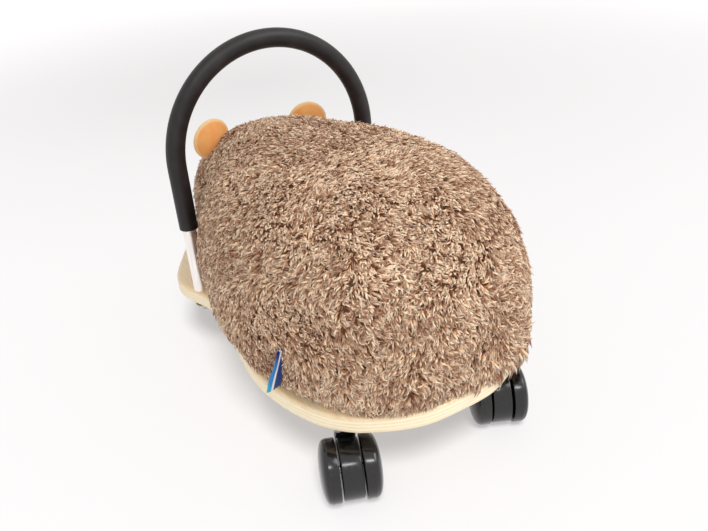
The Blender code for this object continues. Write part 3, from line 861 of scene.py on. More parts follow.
def read_points(piece: Piece) -> Rows:
    """Read the places of a piece's points.

    Args:
        piece: The piece.

    Returns:
        One row for each point.
    """
    places = np.empty(len(piece.data.vertices) * 3)
    piece.data.vertices.foreach_get("co", places)
    return places.reshape(-1, 3)


def read_normals(piece: Piece) -> Rows:
    """Read the normals at a piece's points.

    Args:
        piece: The piece.

    Returns:
        One row for each point.
    """
    normals = np.empty(len(piece.data.vertices) * 3)
    piece.data.vertex_normals.foreach_get("vector", normals)
    return normals.reshape(-1, 3)


def write_points(piece: Piece, places: Rows) -> None:
    """Move a piece's points to new places."""
    piece.data.vertices.foreach_set("co", np.ascontiguousarray(places, dtype=np.float32).ravel())
    piece.data.update()


def unit(vectors: Rows) -> Rows:
    """Return vectors at a length of one."""
    return vectors / np.maximum(np.linalg.norm(vectors, axis=1, keepdims=True), 1e-12)


def along_surface(vectors: Rows, normals: Rows) -> Rows:
    """Return vectors without the part of each that runs along its normal."""
    return vectors - normals * np.einsum("nd,nd->n", vectors, normals)[:, None]


def turned(first: Rows, second: Rows, angles: Rows) -> Rows:
    """Return directions turned from the first towards the second, each by its own angle."""
    return first * np.cos(angles)[:, None] + second * np.sin(angles)[:, None]


def nearest(places: Rows, centres: Rows) -> Rows:
    """Find the centre that lies nearest to each place.

    Args:
        places: The places.
        centres: The centres.

    Returns:
        Number of the centre for each place.
    """
    tree = KDTree(len(centres))
    for index, centre in enumerate(centres):
        tree.insert(centre, index)
    tree.balance()
    return np.array([tree.find(place)[1] for place in places])


def middle_of(node: str) -> Vector:
    """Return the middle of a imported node's box."""
    low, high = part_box(node)
    return (low + high) / 2


def closed_curve(points: Rows, steps: int) -> Rows:
    """Draw a smooth closed curve through points.

    Args:
        points: The points, in order.
        steps: Number of new points for each.

    Returns:
        The curve's points.
    """
    shares = (np.arange(steps) / steps)[:, None]
    runs = []
    for index in range(len(points)):
        before, here, after, beyond = (points[(index + step) % len(points)]
                                       for step in (-1, 0, 1, 2))
        runs.append(0.5 * (2 * here + (after - before) * shares
                           + (2 * before - 5 * here + 4 * after - beyond) * shares ** 2
                           + (3 * here - before - 3 * after + beyond) * shares ** 3))
    return np.concatenate(runs)


class Drift:
    """A smooth random field over the body, made of a few crossing waves."""

    def __init__(self, seed: int, size: float, waves: int = 9) -> None:
        """Draw the waves.

        Args:
            seed: Seed of the draw.
            size: Typical length of a wave in metres.
            waves: Number of waves.
        """
        draw = np.random.default_rng(seed)
        lengths = size * draw.uniform(0.7, 1.5, waves)
        self.waves = unit(draw.normal(size=(waves, 3))) * (2 * math.pi / lengths)[:, None]
        self.starts = draw.uniform(0, 2 * math.pi, waves)

    def at(self, places: Rows) -> Rows:
        """Return the field at places: mostly from -1 to 1, and 0 on average."""
        waves = np.sin(places @ self.waves.T + self.starts)
        return waves.sum(axis=1) / math.sqrt(len(self.starts))


def drift(places: Rows, waves: Waves) -> Rows:
    """Return the sum of a few drifts at places."""
    return sum(strength * Drift(seed, size).at(places) for seed, size, strength in waves)


@dataclass
class Board:
    """The shaped plywood board."""

    edge_round: float = 0.004
    round_steps: int = 6
    outline_steps: int = 4
    edge_slope: float = 0.45        # least upward part of the normal on the veneered faces

    def outline(self) -> Rows:
        """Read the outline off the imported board's straight side, and smooth it.

        Returns:
            The outline's points.
        """
        low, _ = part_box("base_board")
        places = read_points(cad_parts["base_board"])
        level = low.z + self.edge_round
        on_rim = np.abs(places[:, 2] - level) < 10 * WELD
        rim = np.unique(places[on_rim][:, :2].round(5), axis=0)
        order = np.argsort(np.arctan2(rim[:, 1], rim[:, 0]))
        return closed_curve(rim[order], self.outline_steps)

    def build(self) -> Piece:
        """Make the board: a flat outline, extruded and rounded at both rims.

        Returns:
            The board, with veneer on its faces and plies on its edge.
        """
        low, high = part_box("base_board")
        outline = self.outline()
        Bench.clear()
        bpy.ops.mesh.primitive_circle_add(vertices=len(outline), fill_type="NGON")
        board = Bench.named("birch_board")
        write_points(board, np.column_stack([outline, np.full(len(outline), low.z)]))
        bpy.ops.object.mode_set(mode="EDIT")
        bpy.ops.mesh.select_all(action="SELECT")
        Bench.grow((0, 0, high.z - low.z))
        Bench.close()
        Bench.bevel_rims(board, lambda a, b: abs(a.z - b.z) < WELD, self.edge_round,
                         self.round_steps)
        Bench.settle(board, 30)
        board.data.materials.append(BirchFinish().make())
        board.data.materials.append(PlyFinish().make())
        for face in board.data.polygons:
            face.material_index = int(abs(face.normal.z) < self.edge_slope)
        return board

    def dress(self) -> Piece:
        """Build the board and tie it to the frame."""
        board = self.build()
        return Bench.hand_over(board, BODY, "board_wood", board.data.materials[0], ["base_board"])


@dataclass
class Handle:
    """The bent steel tube and the foam-rubber grip on its arch."""

    sides: int = 40
    arc_steps: int = 72
    tube_wall: float = 0.0015
    grip_wall: float = 0.0019
    groove_depth: float = 0.00022
    groove_pitch: float = 0.0022
    groove_half: float = 0.0005     # half of a groove's width at its lips
    floor_half: float = 0.0002      # half of the width at its floor
    grooves: int = 3
    lip_round: float = 0.0007

    def bent(self, name: str, node: str, rings: Sequence[Pair]) -> Piece:
        """Sweep a ring up one leg, over the arch and down the other leg.

        Args:
            name: Name of the piece.
            node: Node whose place and thickness it takes.
            rings: Height above the leg's lower end and scale of each extra ring on a leg.

        Returns:
            The open tube.
        """
        low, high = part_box(node)
        radius = (high.y - low.y) / 2
        reach = high.x - radius
        middle = (high.y + low.y) / 2
        centre = high.z - high.x
        Bench.clear()
        bpy.ops.mesh.primitive_circle_add(vertices=self.sides, radius=radius,
                                          location=(reach, middle, low.z))
        tube = Bench.named(name)
        bpy.ops.object.transform_apply(location=True)
        bpy.ops.object.mode_set(mode="EDIT")
        bpy.ops.mesh.select_all(action="SELECT")
        heights = [height for height, _ in rings] + [centre - low.z]
        scales = [scale for _, scale in rings] + [1.0]
        before_height, before_scale = 0.0, 1.0
        for height, scale in zip(heights, scales):
            Bench.grow((0, 0, height - before_height), scale / before_scale)
            before_height, before_scale = height, scale
        bpy.ops.mesh.spin(steps=self.arc_steps, angle=math.pi, center=(0, middle, centre),
                          axis=(0, 1, 0))
        for height, scale in zip(reversed([0.0] + heights[:-1]), reversed([1.0] + scales[:-1])):
            Bench.grow((0, 0, height - before_height), scale / before_scale)
            before_height, before_scale = height, scale
        Bench.close()
        return tube

    def dress(self) -> list[Piece]:
        """Build and dress the tube and the grip.

        Returns:
            The tube and the grip.
        """
        tube_low, tube_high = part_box("handle_tube")
        grip_low, grip_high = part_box("handle_grip")
        top = grip_low.z - tube_low.z - self.groove_pitch
        narrow = 1 - 2 * self.groove_depth / (tube_high.y - tube_low.y)
        rings = []
        for number in range(self.grooves, 0, -1):
            middle = top - (number - 1) * self.groove_pitch
            rings += [(middle - self.groove_half, 1.0), (middle - self.floor_half, narrow),
                      (middle + self.floor_half, narrow), (middle + self.groove_half, 1.0)]
        tube = self.bent("bent_tube", "handle_tube", rings)
        Bench.modify(tube, "SOLIDIFY", thickness=self.tube_wall, offset=-1)
        Bench.settle(tube, 40)
        finish = MetalFinish("polished_tube", tint(253, 248, 244), tint(238, 231, 226), 0.27,
                             stretch=(1.0, 1.0, 0.05), spot=0.0012).make()
        Bench.hand_over(tube, BODY, "silver_tube", finish, ["handle_tube"])

        grip = self.bent("grip_sleeve", "handle_grip", [])
        Bench.modify(grip, "SOLIDIFY", thickness=self.grip_wall, offset=-1)
        lip = grip_low.z + WELD
        middle = (grip_high.y + grip_low.y) / 2
        reach = grip_high.x - (grip_high.y - grip_low.y) / 2

        def on_lip(a: Vector, b: Vector) -> bool:
            """Tell whether an edge runs round the rim of one of the grip's ends.

            Args:
                a: Place of its one end.
                b: Place of its other end.

            Returns:
                True on such a rim.
            """
            if max(a.z, b.z) > lip:
                return False
            off_a, off_b = (math.hypot(abs(end.x) - reach, end.y - middle) for end in (a, b))
            return abs(off_a - off_b) < self.grip_wall / 4

        Bench.bevel_rims(grip, on_lip, self.lip_round, 4)
        Bench.settle(grip, 50)
        Bench.hand_over(grip, BODY, "black_grip", GripFinish().make(), ["handle_grip"])
        return [tube, grip]


@dataclass
class StuffedBody:
    """The sewn cover, filled with foam and pulled down onto the board."""

    voxel: float = 0.0055
    filled: float = 0.0055
    most_swell: float = 0.0030
    floor_band: float = 0.006
    held_height: float = 0.002
    uneven: float = 0.0011
    lump: float = 0.055             # size of the filling's lumps
    lump_seed: int = 9
    tucked: float = 0.006           # how far the low left side is pulled in behind the board's rim
    tucked_height: float = 0.045
    tucked_side: float = 0.06       # how far from the middle line it is pulled in all the way
    tucked_start: float = -0.02
    tucked_band: float = 0.05

    def sewn(self, places: Rows) -> Rows:
        """Return how firmly each point is held, from 0 to 1: fully where it meets the board."""
        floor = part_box("base_board")[1].z
        return np.clip(1 - (places[:, 2] - floor - self.held_height) / self.floor_band, 0, 1)

    def build(self) -> Piece:
        """Make the body from the foam core's form and swell it to the cover's size.

        Returns:
            The body.
        """
        Bench.clear()
        body = Bench.copy(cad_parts["foam_core"], "stuffed_body")
        body.parent = None
        for key in list(body.keys()):
            del body[key]
        body.data.materials.clear()
        Bench.take(body)
        bpy.ops.object.mode_set(mode="EDIT")
        Bench.close()
        Stuffing.swell(body, self.voxel, self.most_swell, self.sewn, self.filled)
        write_points(body, self.lean(read_points(body), read_normals(body)))
        Bench.modify(body, "SUBSURF", levels=1, render_levels=1)
        Bench.settle(body, 180)
        return body

    def lean(self, places: Rows, normals: Rows) -> Rows:
        """Give the filling its lumps, and pull the low left side in.

        Args:
            places: Places of the points.
            normals: The surface's normals there.

        Returns:
            The new places.
        """
        free = 1 - self.sewn(places)
        lumps = Drift(self.lump_seed, self.lump).at(places)
        places = places + normals * (self.uneven * free * lumps)[:, None]
        low = np.clip(1 - (places[:, 2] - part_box("base_board")[1].z) / self.tucked_height, 0, 1)
        aside = np.clip(places[:, 0] / self.tucked_side, 0, 1)
        behind = np.clip((places[:, 1] - self.tucked_start) / self.tucked_band, 0, 1)
        places[:, 0] -= self.tucked * low * (aside * behind)
        return places

    def dress(self) -> Piece:
        """Build the body and tie it to the frame.

        Returns:
            The body.
        """
        body = self.build()
        Bench.hand_over(body, BODY, "brown_fur", BackingFinish().make(),
                        ["plush_cover", "foam_core"])
        return body


class LockShape(Enum):
    """The ways a lock of pile bends: its sideways hook, and how far its tip stands up."""

    STRAIGHT = (0.0, 0.02)
    LEFT_HOOK = (1.1, 0.04)
    RIGHT_HOOK = (-1.1, 0.04)
    LEFT_CURL = (2.4, 0.16)
    RIGHT_CURL = (-2.4, 0.16)
    UPRIGHT = (0.0, 0.40)


@dataclass(frozen=True)
class Clearing:
    """Short pile round something that the pile would hide."""

    node: str
    reach: float
    least: float                    # share of the full length in its middle
    behind: float = 0.0             # how far its middle lies behind the node's
    squash: float = 1.0             # share of a height that counts as distance
    flat_share: float = 0.55        # share of the reach inside which the pile is shortest

    def share(self, places: Rows) -> Rows:
        """Work out how much of the full length it leaves.

        Args:
            places: Places on the body.

        Returns:
            A share for each place.
        """
        middle = np.array(middle_of(self.node)) + (0, self.behind, 0)
        far = np.linalg.norm((places - middle) * (1, 1, self.squash), axis=1)
        return np.interp(far, (self.reach * self.flat_share, self.reach), (self.least, 1.0))


@dataclass
class LockRuns:
    """How every lock runs. Each value has one row for each lock."""

    root: Rows
    normal: Rows              # the surface's normal
    start: Rows               # direction at the root
    end: Rows                 # direction at the tip
    gather: Rows              # step by which the tip is drawn towards its tuft's
    length: Rows
    width: Rows
    twist: Rows               # turn about its own run

    def points(self, base: Rows, flatness: float) -> Rows:
        """Bend a straight lock along every run.

        Args:
            base: Points of the straight lock, a unit long and a unit wide.
            flatness: Depth of a lock as a share of its width.

        Returns:
            Points of each lock.
        """
        height = base[:, 2]
        bent = (np.einsum("nd,k->nkd", self.start, height)
                + np.einsum("nd,k->nkd", self.end - self.start, height ** 2 / 2))
        axis = (self.root[:, None, :] + np.einsum("nd,k->nkd", self.gather, height ** 2)
                + self.length[:, None, None] * bent)
        run = unit(self.start + self.end)
        across = unit(np.cross(run, self.normal))
        over = np.cross(across, run)
        cos, sin = np.cos(self.twist)[:, None], np.sin(self.twist)[:, None]
        width = self.width[:, None]
        shift_across = width * (base[None, :, 0] * cos - base[None, :, 1] * sin)
        shift_over = width * (base[None, :, 0] * sin + base[None, :, 1] * cos) * flatness
        return (axis + shift_across[:, :, None] * across[:, None, :]
                + shift_over[:, :, None] * over[:, None, :])


@dataclass
class Pile:
    """The shaggy pile: pointed locks that lie along drifting whorls and gather into tufts.

    A spread has two values: from tuft to tuft, and from lock to lock.
    """

    body: Piece
    locks: int = 108000
    tufts: int = 7200
    seed: int = 71
    bands: tuple[str, ...] = ("brow", "head", "shoulder", "back", "rump")
    bare_slope: float = -0.6        # upward part of the normal below which the cover is bare
    bare_height: float = 0.001

    length: float = 0.0088
    length_range: Pair = (0.70, 1.25)
    length_waves: Waves = ((7, 0.04, 0.10),)
    half_width: float = 0.00087
    width_range: Pair = (0.75, 1.3)
    flatness: float = 0.8
    root_sunk: float = 0.0012
    levels: tuple[float, ...] = (0.0, 0.34, 0.68)
    fullness: tuple[float, ...] = (0.80, 1.0, 0.80)

    fall: Place = (0.0, 0.55, -0.80)
    parting: float = 3.0            # how fast it turns aside from the middle line, for a metre
    most_parting: float = 0.25
    whorls: Waves = ((3, 0.11, 0.9), (4, 0.045, 0.75))
    calm_height: float = 0.045      # height over the board below which the whorls are smaller
    calm_share: float = 0.25

    stations: tuple[float, ...] = (-0.19, -0.12, -0.03, 0.10, 0.22)
    station_shares: tuple[float, ...] = (0.66, 0.86, 0.95, 1.0, 1.08)
    clearings: tuple[Clearing, ...] = (
        Clearing("eye_left", 0.014, 0.40), Clearing("eye_right", 0.014, 0.40),
        Clearing("muzzle", 0.044, 0.55, behind=0.004), Clearing("ear_left", 0.022, 0.55),
        Clearing("ear_right", 0.022, 0.55), Clearing("label_tab", 0.020, 0.45, squash=0.7))
    leg_clearing: Pair = (0.016, 0.030)
    leg_share: float = 0.6

    tilt: float = 0.72              # radians from upright at the root
    tilt_spread: Pair = (0.16, 0.20)
    turn_spread: Pair = (0.50, 0.40)
    lift_spread: float = 0.15
    lift_range: Pair = (-0.05, 1.2)
    pull: float = 0.25              # how strongly a lock leans towards its tuft's middle
    clump: float = 0.36             # share of the way that a lock's tip is drawn to its tuft's
    clump_range: Pair = (0.4, 1.4)

    fringe: float = 1.2             # extra length of the locks that hang over the board's rim
    fringe_foot: float = 0.004
    fringe_height: float = 0.034
    fringe_left: float = 0.12       # share of the fringe on the left side
    fringe_turn: float = 0.03       # width over which it fills out on the right side
    fringe_side: float = 0.65
    fringe_rear: float = 0.75       # what the rear has more of than the side
    rear_start: float = 0.09
    rear_band: float = 0.08
    ragged_range: Pair = (0.45, 1.25)
    droop: float = 0.7
    combed: float = 0.35            # how much less the fringe's locks turn and hook

    tone: float = 0.50
    tone_waves: Waves = ((5, 0.10, 0.09), (6, 0.03, 0.08))
    tone_spread: Pair = (0.11, 0.40)
    tone_range: Pair = (0.04, 0.96)
    tone_across: float = 0.035      # width of a lock on its map
    map_margin: float = 0.02
    map_round: float = 0.012

    def model_lock(self) -> tuple[Rows, list[tuple[int, ...]]]:
        """Model one straight lock, a unit long and a unit wide.

        Returns:
            Its points, and its faces.
        """
        Bench.clear()
        bpy.ops.mesh.primitive_cone_add(vertices=3, radius1=1.0, radius2=0.0, depth=1.0,
                                        location=(0, 0, 0.5))
        lock = Bench.named("one_lock")
        bpy.ops.object.transform_apply(location=True)
        for level in self.levels[1:]:
            bpy.ops.object.mode_set(mode="EDIT")
            bpy.ops.mesh.select_all(action="SELECT")
            bpy.ops.mesh.bisect(plane_co=(0, 0, level), plane_no=(0, 0, 1))
            bpy.ops.object.mode_set(mode="OBJECT")
        points = read_points(lock)
        faces = [tuple(face.vertices) for face in lock.data.polygons]
        widths = np.linalg.norm(points[:, :2], axis=1)
        wanted = np.interp(points[:, 2], (*self.levels, 1.0), (*self.fullness, 0.0))
        points[:, :2] *= np.where(widths > 1e-6, wanted / np.maximum(widths, 1e-6), 0)[:, None]
        bpy.data.objects.remove(lock, do_unlink=True)
        return points, faces

    def roots(self, count: int, seed: int) -> tuple[Rows, Rows]:
        """Spread points evenly over the body, with the surface's normal at each.

        Args:
            count: Number of points.
            seed: Seed of the draw.

        Returns:
            Places and normals.
        """
        draw = np.random.default_rng(seed)
        mesh = self.body.data
        mesh.calc_loop_triangles()
        corners = np.empty(len(mesh.loop_triangles) * 3, dtype=np.int64)
        mesh.loop_triangles.foreach_get("vertices", corners)
        corners = corners.reshape(-1, 3)
        points, normals = read_points(self.body), read_normals(self.body)
        a, b, c = (points[corners[:, index]] for index in range(3))
        cross = np.cross(b - a, c - a)
        area = np.linalg.norm(cross, axis=1) / 2
        bare_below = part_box("base_board")[1].z + self.bare_height
        height = (a[:, 2] + b[:, 2] + c[:, 2]) / 3
        area[(unit(cross)[:, 2] < self.bare_slope) | (height < bare_below)] = 0
        ends = np.cumsum(area)
        marks = (np.arange(count) + draw.uniform(0, 1, count)) * ends[-1] / count
        chosen = np.searchsorted(ends, marks)
        across, along = draw.uniform(0, 1, count), draw.uniform(0, 1, count)
        beyond = across + along > 1
        across[beyond], along[beyond] = 1 - across[beyond], 1 - along[beyond]
        shares = np.column_stack([1 - across - along, across, along])
        triangle = corners[chosen]
        places = np.einsum("nk,nkd->nd", shares, points[triangle])
        return places, unit(np.einsum("nk,nkd->nd", shares, normals[triangle]))

    def flow(self, places: Rows, normals: Rows) -> Rows:
        """Work out the way along the surface that the pile lies at each place.

        Args:
            places: Places on the body.
            normals: The surface's normals there.

        Returns:
            Unit vectors along the surface.
        """
        lay = np.tile(self.fall, (len(places), 1))
        aside = np.minimum(np.abs(places[:, 0]) * self.parting, self.most_parting)
        lay[:, 0] += np.sign(places[:, 0]) * aside
        lay = unit(along_surface(lay, normals))
        above = places[:, 2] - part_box("base_board")[1].z
        whorl = drift(places, self.whorls) * np.clip(above / self.calm_height, self.calm_share, 1)
        return turned(lay, np.cross(normals, lay), whorl)

    def trim(self, places: Rows) -> Rows:
        """Work out the share of the full length: short on the face, long at the back.

        Args:
            places: Places on the body.

        Returns:
            A share for each place.
        """
        share = np.interp(places[:, 1], self.stations, self.station_shares)
        for clearing in self.clearings:
            share = share * clearing.share(places)
        low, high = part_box("handle_tube")
        near_leg = np.hypot(np.abs(places[:, 0]) - high.x, places[:, 1] - (low.y + high.y) / 2)
        return share * np.interp(near_leg, self.leg_clearing, (self.leg_share, 1.0))

    def overhang(self, places: Rows) -> Rows:
        """Work out how far the locks hang over the rim: most low down at the right and the rear.

        Args:
            places: Places on the body.

        Returns:
            A share for each place, from 0 to 1, and a little more at the rear.
        """
        above = places[:, 2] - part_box("base_board")[1].z
        low = np.clip(1 - (above - self.fringe_foot) / self.fringe_height, 0, 1)
        right = np.clip(-places[:, 0] / self.fringe_turn, self.fringe_left, 1)
        rear = np.clip((places[:, 1] - self.rear_start) / self.rear_band, 0, 1)
        return low * right * (self.fringe_side + self.fringe_rear * rear)

    def gather(self, tips: Rows, tuft: Rows) -> Rows:
        """Work out the step from each lock's tip to the middle of its tuft's tips.

        Args:
            tips: Tips of the locks.
            tuft: Number of each lock's tuft.

        Returns:
            The steps.
        """
        members = np.maximum(np.bincount(tuft, minlength=self.tufts), 1)[:, None]
        sums = np.stack([np.bincount(tuft, tips[:, axis], self.tufts) for axis in range(3)], 1)
        return (sums / members)[tuft] - tips

    def tuft_map(self, places: Rows, tuft_tone: Rows, base: Rows,
                 draw: np.random.Generator) -> Rows:
        """Draw up the locks' own map: their tone across, and from root to tip along.

        Args:
            places: Places of the locks.
            tuft_tone: Tone of each lock's tuft.
            base: Points of the straight lock.
            draw: The draw.

        Returns:
            The map's two values at each point of each lock.
        """
        tone = (self.tone + drift(places, self.tone_waves) + self.tone_spread[0] * tuft_tone
                + self.tone_spread[1] * draw.normal(0, 1, len(places)))
        tone = np.clip(tone, *self.tone_range)[:, None] + self.tone_across * base[None, :, 0]
        along = (self.map_margin + (1 - 2 * self.map_margin) * base[:, 2]
                 + self.map_round * base[:, 1])
        return np.stack(np.broadcast_arrays(tone, np.clip(along, 0, 1)[None, :]), axis=2)

    def build(self) -> list[Piece]:
        """Grow the pile, in one piece for each panel of the cover.

        Returns:
            The panels.
        """
        base, faces = self.model_lock()
        draw = np.random.default_rng(self.seed)
        places, normals = self.roots(self.locks, self.seed + 1)
        centres, _ = self.roots(self.tufts, self.seed + 2)
        tuft = nearest(places, centres)
        count = len(places)

        hang = self.overhang(places)
        length = self.length * self.trim(places) * draw.uniform(*self.length_range, count)
        ragged = draw.uniform(*self.ragged_range, count)
        length = (length * (1 + self.fringe * hang * ragged)
                  * (1 + drift(places, self.length_waves)))
        tuft_turn = draw.normal(0, self.turn_spread[0], self.tufts)[tuft]
        tuft_tone = draw.normal(0, 1.0, self.tufts)[tuft]
        tuft_tilt = draw.normal(0, self.tilt_spread[0], self.tufts)[tuft]

        loose = 1 - self.combed * np.minimum(hang, 1)
        turn = (tuft_turn + draw.normal(0, self.turn_spread[1], count)) * loose
        lay = self.flow(places, normals)
        lay = turned(lay, np.cross(normals, lay), turn)
        pull = along_surface(centres[tuft] - places, normals)
        lay = unit(lay + self.pull * pull / length[:, None])
        side = np.cross(normals, lay)

        tilt = self.tilt + tuft_tilt + draw.normal(0, self.tilt_spread[1], count)
        shapes = np.array([shape.value for shape in LockShape])
        hook, lift = shapes[draw.integers(0, len(shapes), count)].T
        lift = np.clip(lift * loose + draw.normal(0, self.lift_spread, count), *self.lift_range)
        start = turned(normals, lay, tilt)
        end = unit(turned(lay, normals, lift) + side * (hook * loose)[:, None])
        end = unit(end - np.outer(self.droop * hang, (0, 0, 1)))
        root = places - normals * self.root_sunk
        gather = self.gather(root + (start + end) * (length / 2)[:, None], tuft)
        gather = gather * (self.clump * draw.uniform(*self.clump_range, count))[:, None]

        slender = np.sqrt(length / self.length)
        width = self.half_width * draw.uniform(*self.width_range, count) * slender
        twist = draw.uniform(0, 2 * math.pi / 3, count)
        runs = LockRuns(root, normals, start, end, gather, length, width, twist)
        tuft_map = self.tuft_map(places, tuft_tone, base, draw)
        return self.panels(places, runs.points(base, self.flatness), tuft_map, faces)

    def panels(self, places: Rows, points: Rows, tuft_map: Rows,
               faces: list[tuple[int, ...]]) -> list[Piece]:
        """Join the locks into one mesh for each panel.

        Args:
            places: Places of the locks.
            points: Points of each lock.
            tuft_map: The map's two values at each point of each lock.
            faces: Faces of one lock.

        Returns:
            The panels.
        """
        limits = np.quantile(places[:, 1], np.arange(1, len(self.bands)) / len(self.bands))
        band = np.searchsorted(limits, places[:, 1])
        panels = []
        for number, name in enumerate(self.bands):
            for label, on_side in (("left", places[:, 0] >= 0), ("right", places[:, 0] < 0)):
                chosen = (band == number) & on_side
                panels.append(self.join(f"pile_{name}_{label}", points[chosen],
                                        tuft_map[chosen], faces))
        return panels

    @staticmethod
    def join(name: str, points: Rows, tuft_map: Rows, faces: list[tuple[int, ...]]) -> Piece:
        """Make one mesh of many locks.

        Args:
            name: Name of the piece.
            points: Points of each lock.
            tuft_map: The map's two values at each point of each lock.
            faces: Faces of one lock.

        Returns:
            The piece.
        """
        count, size = points.shape[:2]
        corners = np.concatenate([np.array(face) for face in faces])
        sizes = np.array([len(face) for face in faces])
        starts = np.concatenate([[0], np.cumsum(sizes)[:-1]])
        mesh = bpy.data.meshes.new(name)
        mesh.vertices.add(count * size)
        mesh.vertices.foreach_set("co", points.astype(np.float32).ravel())
        mesh.loops.add(count * len(corners))
        all_corners = (corners[None, :] + (np.arange(count) * size)[:, None]).ravel()
        mesh.loops.foreach_set("vertex_index", all_corners.astype(np.int32))
        mesh.polygons.add(count * len(faces))
        all_starts = (starts[None, :] + (np.arange(count) * len(corners))[:, None]).ravel()
        mesh.polygons.foreach_set("loop_start", all_starts.astype(np.int32))
        layer = mesh.uv_layers.new(name=TUFT_MAP)
        layer.data.foreach_set("uv", tuft_map[:, corners, :].astype(np.float32).ravel())
        mesh.update(calc_edges=True)
        mesh.validate()
        mesh.shade_smooth()
        piece = bpy.data.objects.new(name, mesh)
        bpy.context.scene.collection.objects.link(piece)
        return piece

    def dress(self) -> list[Piece]:
        """Grow the pile and tie its panels to the frame.

        Returns:
            The panels.
        """
        finish = PileFinish().make()
        return [Bench.hand_over(panel, BODY, "brown_fur", finish) for panel in self.build()]


@dataclass
class Ears:
    """The two cupped velour ears."""

    radius: float = 0.0202
    thickness: float = 0.0032
    cup: float = 0.0045
    voxel: float = 0.0011
    most_swell: float = 0.0011
    turn: float = math.radians(14)
    lean: float = math.radians(12)
    behind: float = 0.001
    left_shift: Place = (-0.004, 0.0, 0.004)
    sides: int = 48
    rings: int = 6
    ring_share: float = 0.98        # leaves the middle of the disc open
    seam_start: float = 0.0022      # distance from the rim where it begins to be held
    seam_band: float = 0.0012
    rim_highlight_band: Pair = (0.0028, 0.0012)   # distances where the painted rim highlight begins and is full
    rim_highlight_strength: float = 0.85

    def build(self) -> Piece:
        """Model one ear: a cupped disc, doubled and stuffed, with a band along its rim marked for a
        painted highlight.

        Returns:
            The ear.
        """
        Bench.clear()
        bpy.ops.mesh.primitive_circle_add(vertices=self.sides, radius=self.radius,
                                          fill_type="NGON")
        ear = Bench.named("one_ear")
        bpy.ops.object.mode_set(mode="EDIT")
        bpy.ops.mesh.select_all(action="SELECT")
        for number in range(self.rings):
            outer, inner = 1 - number / self.rings, 1 - (number + 1) / self.rings
            drop = self.cup * (outer ** 2 - inner ** 2)
            bpy.ops.mesh.inset(thickness=self.radius / self.rings * self.ring_share)
            bpy.ops.transform.translate(value=(0, 0, -drop))
        bpy.ops.object.mode_set(mode="OBJECT")
        Bench.modify(ear, "SOLIDIFY", thickness=self.thickness, offset=0)
        Stuffing.swell(ear, self.voxel, self.most_swell, self.sewn)
        self.paint_rim_highlight(ear)
        Bench.modify(ear, "SUBSURF", levels=1, render_levels=1)
        return ear

    def sewn(self, places: Rows) -> Rows:
        """Return how firmly each point of the ear is held: fully at its seam.

        Args:
            places: Places of the points.

        Returns:
            Shares from 0 to 1.
        """
        reach = np.hypot(places[:, 0], places[:, 1])
        return np.clip((reach - self.radius + self.seam_start) / self.seam_band, 0, 1)

    def paint_rim_highlight(self, ear: Piece) -> None:
        """Mark a band along the ear's rim, which its finish paints paler as a highlight.

        Args:
            ear: The ear.
        """
        places = read_points(ear)
        reach = np.hypot(places[:, 0], places[:, 1])
        start, full = (self.radius - distance for distance in self.rim_highlight_band)
        value = np.interp(reach, (start, full), (0.0, self.rim_highlight_strength))
        edge = ear.data.attributes.new("edge", "FLOAT", "POINT")
        edge.data.foreach_set("value", value.astype(np.float32))

    def dress(self) -> list[Piece]:
        """Build both ears and tie them to the frame.

        Returns:
            The left and the right ear.
        """
        model = self.build()
        # the third colour is the pale painted highlight along the ears' rims
        finish = VelourFinish("orange_velour", tint(255, 180, 104), tint(255, 164, 84),
                              tint(255, 222, 164)).make()
        ears = []
        for label, sign in (("left", 1), ("right", -1)):
            low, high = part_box(f"ear_{label}")
            centre = Vector(((low.x + high.x) / 2, (low.y + high.y) / 2 + self.behind,
                             high.z - (self.radius + self.most_swell) * math.cos(self.lean)))
            if label == "left":
                centre += Vector(self.left_shift)
            ear = Bench.copy(model, f"velour_ear_{label}")
            ear.matrix_world = (Matrix.Translation(centre)
                                @ Matrix.Rotation(sign * self.turn, 4, "Z")
                                @ Matrix.Rotation(math.pi / 2 - self.lean, 4, "X"))
            Bench.settle(ear, 180)
            Bench.hand_over(ear, BODY, "orange_velour", finish, [f"ear_{label}"])
            ears.append(ear)
        bpy.data.objects.remove(model, do_unlink=True)
        return ears


